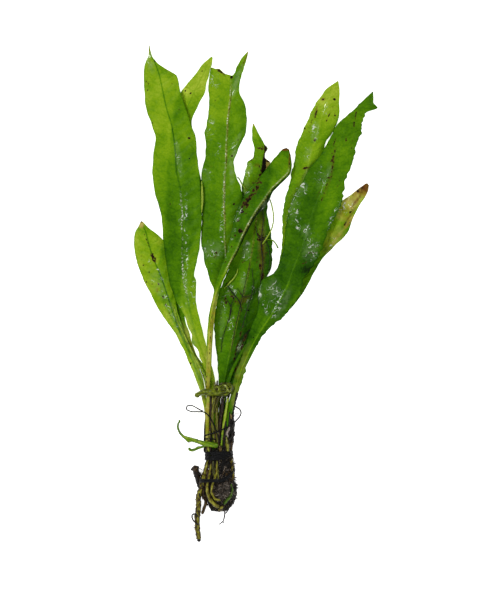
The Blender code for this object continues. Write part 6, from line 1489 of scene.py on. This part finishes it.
threadBands = {
    "thread_band_upper": {"middle": (109.4, 4.95), "half": (7.25, 4.9), "low": 70.3, "high": 74.7, "rise": 0.0, "turns": 15, "stray": 0.32},
    "thread_band_lower": {"middle": (108.7, 5.6), "half": (9.1, 5.5), "low": 59.2, "high": 61.2, "rise": 5.0, "turns": 6, "stray": 0.34},
}
for order, (bandName, band) in enumerate(threadBands.items()):
    # wound to and fro round the bundle: its place along y swings from side to side of the band, so that turns cross
    turn = np.linspace(0, 2 * np.pi * band["turns"], int(band["turns"] * 90))
    inset = sewingThread["radius"]
    swing = (band["high"] - band["low"]) / 2 - inset
    y = (band["low"] + band["high"]) / 2 + swing * np.sin(turn * 0.37 + 0.6 * np.sin(turn * 0.21))
    y = y + band["rise"] * np.maximum(0, np.cos(turn)) ** 2 + band["stray"] * ripples(turn, 0 * turn, 5, 50 + order)
    depth = inset + 0.45 * (0.5 + 0.5 * ripples(turn, 0 * turn, 7, 60 + order))
    x = band["middle"][0] + (band["half"][0] - depth) * np.cos(turn)
    z = np.maximum(inset + 0.02, band["middle"][1] + (band["half"][1] - depth) * np.sin(turn))
    makeThread(bandName + "_winding", np.column_stack([x, y, z]), bandName, (0.0, 1.0, 0.0))
print("threads made")

# Old stalks and torn root between the green stalks: each runs from the mat up the bundle
oldStalks = {
    "old_stalks": {
        "count": 44, "points": 22, "sides": 8, "low": (71.5, 74.5), "high": (84, 104), "across": (104.2, 115.6),
        "height": (2.0, 7.2), "radius": (0.35, 0.8), "spread": 0.35, "sway": 0.3, "tone": (-0.1, 0.17),
        "material": "brownRoot", "slot": "root_brown", "seed": 71,
    },
    "old_stalks_green": {
        "count": 16, "points": 22, "sides": 8, "low": (72.0, 75.0), "high": (96, 106), "across": (105.0, 114.6),
        "height": (2.6, 7.2), "radius": (0.4, 0.7), "spread": 0.35, "sway": 0.25, "tone": (-0.15, 0.08),
        "material": "oldStalk", "slot": "stalk_green", "seed": 72,
    },
    "dead_scraps": {
        "count": 70, "points": 9, "sides": 6, "low": (78.5, 88.0), "high": (82, 95), "across": (113.9, 116.6),
        "height": (2.5, 8.0), "radius": (0.15, 0.55), "spread": 0.2, "sway": 0.5, "tone": (-0.1, 0.1),
        "material": "blackRoot", "slot": "root_black", "seed": 73,
    },
    "left_wad": {
        "count": 90, "points": 10, "sides": 6, "low": (49.2, 58.0), "high": (53, 65.5), "across": (99.8, 103.8),
        "height": (0.8, 5.6), "radius": (0.12, 0.4), "spread": 0.3, "sway": 0.6, "tone": (-0.1, 0.14),
        "material": "brownRoot", "slot": "root_brown", "seed": 74,
    },
    "neck_scraps": {
        "count": 60, "points": 9, "sides": 6, "low": (74.0, 80.0), "high": (75, 84), "across": (104.0, 115.2),
        "height": (6.6, 8.6), "radius": (0.12, 0.36), "spread": 0.3, "sway": 0.5, "tone": (-0.05, 0.2),
        "material": "brownRoot", "slot": "root_brown", "seed": 75,
    },
}


def makeBunch(name, spec):
    # strands side by side: each goes from its foot to its own height, swaying a little, thinner to its end
    draw = np.random.default_rng(spec["seed"])
    count, sides = spec["count"], spec["sides"]
    steps = np.linspace(0, 1, spec["points"])[None, :]
    foot = draw.uniform(*spec["across"], (count, 1))
    low = draw.uniform(*spec["low"], (count, 1))
    top = np.maximum(draw.uniform(*spec["high"], (count, 1)), low + 1.5)
    middle = sum(spec["across"]) / 2
    x = foot + (foot - middle) * spec["spread"] * steps + spec["sway"] * np.sin(draw.uniform(0, 6.3, (count, 1)) + 5 * steps)
    y = low + (top - low) * steps
    z = draw.uniform(*spec["height"], (count, 1)) + spec["sway"] * np.sin(draw.uniform(0, 6.3, (count, 1)) + 4 * steps)
    radius = draw.uniform(*spec["radius"], (count, 1)) * (1 - 0.75 * steps**4)
    ring = np.arange(sides) * 2 * np.pi / sides
    radius = radius[..., None] * (1 + 0.18 * np.sin(2 * ring + draw.uniform(0, 6.3, (count, 1, 1))))
    points = np.stack(
        [
            x[..., None] + radius * np.cos(ring),
            np.broadcast_to(y[..., None], radius.shape),
            np.maximum(0.03, z[..., None] + radius * np.sin(ring)),
        ],
        axis=-1,
    )
    one = gridFaces(spec["points"], sides)
    faces = (one[None] + np.arange(count)[:, None, None] * spec["points"] * sides).reshape(-1, 4)
    tone = np.broadcast_to(draw.uniform(*spec["tone"], (count, 1, 1)), radius.shape)
    grain = np.stack([ring * radius, np.broadcast_to(y[..., None], radius.shape)], axis=-1) / 10
    addPiece(name, points, faces, grain, growthMaterials[spec["material"]], (), {"tone": tone})


for bunchName, spec in oldStalks.items():
    makeBunch(bunchName, spec)

# Slighter strands by the photograph's pixels: x, row, height in mm, radius in mm; after each, its material, slot and tone
slightStrands = {
    "bundle_brown": ([(210.6, 394, 7.9, 0.5), (211.0, 410, 8.1, 0.55), (210.4, 425, 8.1, 0.5), (210.3, 440, 8.1, 0.55), (210.5, 452, 7.8, 0.5)], "brownRoot", "root_brown", 0.05),
    "bundle_beige": ([(212.6, 393, 8.0, 0.4), (212.9, 399, 8.1, 0.45), (212.4, 405, 7.9, 0.3)], "oldStalk", "stalk_green", 0.14),
    "bundle_green": ([(215.4, 396, 7.8, 0.6), (213.6, 404, 8.0, 0.75), (212.6, 414, 8.1, 0.8), (213.0, 428, 8.1, 0.75), (214.2, 440, 7.9, 0.6), (215, 450, 7.6, 0.5)], "oldStalk", "stalk_green", 0.0),
    "bundle_grey_green": ([(221, 391, 8.3, 0.5), (218.4, 398, 8.6, 0.7), (216.0, 405, 8.5, 0.65), (213.6, 413, 8.3, 0.4)], "oldStalk", "stalk_green", -0.12),
    "bundle_dark_brown": ([(223.4, 396, 7.6, 0.6), (222.0, 408, 7.9, 1.0), (220.4, 420, 8.0, 1.0), (219.2, 434, 7.9, 0.8), (218.4, 448, 7.6, 0.7)], "brownRoot", "root_brown", 0.0),
    "bundle_black": ([(217.0, 400, 7.8, 0.5), (216.6, 414, 7.9, 0.8), (217.2, 428, 7.9, 0.85), (217.6, 440, 7.9, 0.7), (218, 452, 7.6, 0.6)], "oldStalk", "stalk_green", -0.02),
    "bundle_gap_olive": ([(214.8, 381, 6.9, 0.35), (215.2, 386, 7.2, 0.6), (215.6, 391, 7.6, 0.6), (215.8, 398, 7.8, 0.5)], "oldStalk", "stalk_green", 0.02),
    "bundle_gap_brown": ([(217.4, 380, 6.8, 0.35), (217.0, 388, 7.2, 0.6), (216.4, 396, 7.6, 0.55), (215.4, 404, 7.8, 0.4)], "brownRoot", "root_brown", 0.08),
    "pale_sliver": ([(201.6, 181, 4.4, 0.2), (202.2, 190, 4.6, 0.5), (202.2, 202, 4.8, 0.6), (201.6, 213, 4.9, 0.2)], "greenStalk", "leaf_yellow", 0.25),
    "bundle_black_right": ([(225.6, 420, 7.7, 0.5), (225.2, 430, 7.9, 0.7), (224.4, 440, 7.9, 0.8), (223.8, 452, 7.6, 0.7)], "blackRoot", "root_black", 0.05),
    "bundle_rim_black": ([(237.4, 392, 7.5, 0.4), (235.4, 398, 7.6, 0.55), (233.2, 404, 7.6, 0.55), (231.0, 411, 7.5, 0.5)], "blackRoot", "root_black", 0.0),
    "bundle_rag_brown": ([(229.8, 411, 8.0, 0.4), (229.6, 421, 8.1, 0.6), (229.0, 432, 8.0, 0.6), (227.8, 441, 7.7, 0.5)], "blackRoot", "root_black", 0.1),
    "bundle_yellow_low": ([(226.2, 436, 7.8, 0.4), (227.2, 442, 8.1, 0.85), (227.9, 451, 7.9, 0.8)], "oldStalk", "stalk_green", 0.1),
    "bundle_green_low": ([(222.4, 434, 7.9, 0.4), (221.7, 440, 8.2, 0.6), (221.6, 446, 8.1, 0.5)], "greenStalk", "stalk_green", 0.05),
    "bundle_left_dark": ([(206.4, 414, 6.9, 0.3), (205.2, 424, 6.9, 0.45), (204.8, 436, 6.8, 0.5), (204.6, 452, 6.5, 0.5)], "blackRoot", "root_black", 0.1),
    "bundle_olive_cross": ([(207, 446, 8.2, 0.5), (209, 438, 8.4, 0.55), (210.4, 430, 8.3, 0.4)], "oldStalk", "stalk_green", 0.0),
    "bundle_rust": ([(219.6, 444.5, 8.4, 0.4), (220.4, 448, 8.6, 0.7), (220.8, 452, 8.3, 0.5)], "brownRoot", "root_brown", 0.28),
    "bundle_rust_small": ([(230.4, 413.5, 8.2, 0.3), (231.2, 416, 8.4, 0.55), (231.4, 418.5, 8.2, 0.3)], "brownRoot", "root_brown", 0.32),
    "scrap_pale": ([(229.6, 426.0, 8.6, 0.25), (228.6, 429, 8.9, 0.6), (227.2, 432, 8.9, 0.65), (226.0, 435, 8.6, 0.3)], "paperScrap", "root_brown", 0.0),
    "scrap_pale_small": ([(226.6, 432.4, 8.7, 0.25), (227.8, 434.6, 8.8, 0.4), (228.0, 437.0, 8.6, 0.2)], "paperScrap", "root_brown", 0.05),
    "frond_curl": ([(213.6, 387.2, 9.6, 0.35), (215.0, 390.4, 9.9, 0.5), (218.0, 390.8, 10.0, 0.5), (219.0, 387.8, 10.0, 0.45), (216.8, 386.0, 9.9, 0.4), (215.6, 388.0, 9.9, 0.3)], "wartyShoot", "stalk_green", 0.22),
    "frond_vein": ([(222.4, 384.4, 10.4, 0.2), (226.0, 385.4, 10.7, 0.35), (227.2, 388.6, 10.7, 0.4), (229.4, 391.2, 10.3, 0.3)], "wartyShoot", "stalk_green", 0.3),
    "clinging_root_long": ([(262.0, 198, 2.6, 0.15), (263.2, 220, 2.4, 0.2), (261.2, 244, 2.2, 0.25), (262.8, 264, 2.0, 0.2), (260.4, 284, 1.9, 0.2)], "blackRoot", "root_black", 0.12),
    "clinging_root_side": ([(261.2, 234, 2.3, 0.15), (266.8, 243, 2.0, 0.15), (270.0, 256, 1.8, 0.15), (268.8, 270, 1.6, 0.1)], "blackRoot", "root_black", 0.15),
    "clinging_root_low": ([(226.0, 283, 2.2, 0.15), (232.0, 292, 2.2, 0.25), (239.0, 301, 2.1, 0.25), (242.0, 312, 2.1, 0.15)], "blackRoot", "root_black", 0.12),
    "pale_stalk": ([(171, 302, 3.4, 0.25), (173.4, 307, 3.6, 0.4), (178.4, 323, 3.7, 0.45), (185, 337.5, 3.8, 0.5), (192.6, 353.4, 4.1, 0.55), (199, 364.6, 5.0, 0.6), (204.4, 373.6, 6.0, 0.6), (207, 382, 7.4, 0.6), (208.4, 392, 7.8, 0.4)], "greenStalk", "leaf_yellow", 0.14),
    "clinging_root_rib": ([(250, 262, 2.4, 0.12), (246, 280, 2.5, 0.16), (240.5, 305, 2.7, 0.2), (235, 330, 2.9, 0.18), (231, 352, 3.0, 0.12)], "blackRoot", "root_black", 0.12),
    "clinging_root_mesh": ([(226, 298, 2.3, 0.12), (231, 308, 2.4, 0.18), (228, 322, 2.4, 0.18), (222.6, 338, 2.3, 0.16), (221, 352, 2.2, 0.12)], "blackRoot", "root_black", 0.12),
    "clinging_root_right": ([(252, 268, 2.3, 0.12), (253, 288, 2.3, 0.18), (247, 310, 2.7, 0.2), (242, 328, 3.6, 0.16)], "blackRoot", "root_black", 0.12),
    "clinging_root_cross": ([(237, 288, 2.5, 0.12), (245, 297, 2.6, 0.18), (252, 295, 2.4, 0.16), (258, 288, 2.2, 0.12)], "blackRoot", "root_black", 0.15),
    "clinging_root_upper": ([(256, 226, 2.5, 0.12), (258, 236, 2.5, 0.22), (263, 240, 2.3, 0.2), (266, 236, 2.2, 0.12)], "blackRoot", "root_black", 0.18),
    "clinging_root_fork": ([(235.0, 296, 2.3, 0.15), (231.2, 306, 2.3, 0.2), (229.2, 320, 2.4, 0.15)], "blackRoot", "root_black", 0.12),
    "stub_root_arc": ([(196.8, 468.6, 4.2, 0.12), (198.6, 467.8, 4.4, 0.15), (200.6, 468.6, 4.6, 0.15), (203.4, 470.4, 4.8, 0.12)], "blackRoot", "root_black", 0.1),
    "stub_shred": ([(198.4, 480, 2.6, 0.4), (199.4, 487, 1.8, 0.4), (200.2, 493, 1.4, 0.25)], "blackRoot", "root_black", 0.05),
    "barb_upper": ([(197.4, 499.4, 2.9, 0.2), (195.6, 499.6, 2.7, 0.16), (194.0, 500.8, 2.5, 0.1)], "blackRoot", "root_black", 0.15),
    "barb_middle": ([(196.0, 528.0, 1.8, 0.2), (193.6, 527.6, 1.6, 0.16), (191.6, 526.4, 1.5, 0.1)], "blackRoot", "root_black", 0.25),
    "barb_lower": ([(196.6, 528.8, 1.9, 0.2), (195.2, 529.8, 1.7, 0.16), (194.0, 530.4, 1.6, 0.1)], "blackRoot", "root_black", 0.15),
    "rhizome_cut": ([(197.0, 541.0, 1.3, 0.7), (198.8, 540.4, 1.4, 1.05), (200.8, 539.6, 1.3, 0.7)], "blackRoot", "root_black", 0.0),
    "root_fine_second": ([(230.4, 503, 1.6, 0.2), (229.0, 508, 1.2, 0.18), (227.4, 511, 0.9, 0.16), (225.0, 514.4, 0.6, 0.14)], "blackRoot", "root_black", 0.15),
    "root_fine_twig": ([(222.8, 521.4, 0.4, 0.16), (223.6, 523.0, 0.36, 0.16), (224.0, 524.6, 0.3, 0.12)], "blackRoot", "root_black", 0.15),
    "mat_point_left": ([(209.6, 504, 1.6, 0.9), (211.2, 508, 1.4, 0.8), (212.4, 511.6, 1.2, 0.35)], "blackRoot", "root_black", 0.05),
    "mat_point_right": ([(217.4, 507, 1.6, 0.9), (218.6, 510, 1.4, 0.8), (219.4, 512.6, 1.2, 0.3)], "blackRoot", "root_black", 0.05),
    "loop_inner": ([(234.2, 416.4, 5.4, 0.12), (235.2, 414.0, 5.4, 0.12), (237.0, 412.8, 5.3, 0.12), (239.2, 414.4, 5.2, 0.1)], "greyWool", "root_brown", 0.2),
}
for order, (strandName, (points, kind, slot, tone)) in enumerate(slightStrands.items()):
    route = np.array(points) * [pixel, -pixel, 1, 1] + [0, sheetHigh, 0, 0]
    spec = {"route": route, "sides": 10, "warts": 0.08, "wartWide": 2.0, "tone": tone, "step": 0.25}
    makeGrowth(strandName, spec, growthMaterials[kind], (), 1300 + order)
print("old stalks and slight strands made")


def makeFloor():
    # pale table: a level sheet of matt board, faintly lit from below like a light table, so no shadow turns grey
    material, tree, shader = freshMaterial("paleTable", 0.9, 1.45)
    shader.inputs["Base Color"].default_value = linear("#F6F6F4")
    shader.inputs["Emission Color"].default_value = linear("#FFFFFF")
    shader.inputs["Emission Strength"].default_value = 0.9
    reach = 4.0
    mesh = bpy.data.meshes.new("pale_table")
    corners = [(-reach, -reach, 0.0), (reach, -reach, 0.0), (reach, reach, 0.0), (-reach, reach, 0.0)]
    mesh.from_pydata(corners, [], [(0, 1, 2, 3)])
    mesh.materials.append(material)
    table = bpy.data.objects.new("pale_table", mesh)
    bpy.context.scene.collection.objects.link(table)


def aimAt(thing, target):
    thing.rotation_euler = (target - thing.location).to_track_quat("-Z", "Y").to_euler()


def makeCameraAndLights():
    from mathutils import Vector

    scene = bpy.context.scene
    data = bpy.data.cameras.new("camera")
    data.lens, data.sensor_width = camera["lens"], camera["sensor"]
    data.clip_start, data.clip_end = 0.01, 20.0
    eye = bpy.data.objects.new("camera", data)
    eye.location = (camera["across"] * mm, camera["along"] * mm, camera["above"] * mm)
    scene.collection.objects.link(eye)
    scene.camera = eye
    for name, box in softboxes.items():
        light = bpy.data.lights.new(name, "AREA")
        light.size, light.energy = box["wide"] * mm, box["watts"]
        lamp = bpy.data.objects.new(name, light)
        lamp.location = Vector(box["at"]) * mm
        aimAt(lamp, Vector((0, 0, 0)))
        scene.collection.objects.link(lamp)
    world = scene.world or bpy.data.worlds.new("room")
    scene.world = world
    world.use_nodes = True
    world.node_tree.nodes["Background"].inputs["Color"].default_value = (1, 1, 1, 1)
    world.node_tree.nodes["Background"].inputs["Strength"].default_value = roomLight
    scene.view_settings.view_transform = "Standard"


makeFloor()
makeCameraAndLights()
print("camera, lights and table made")
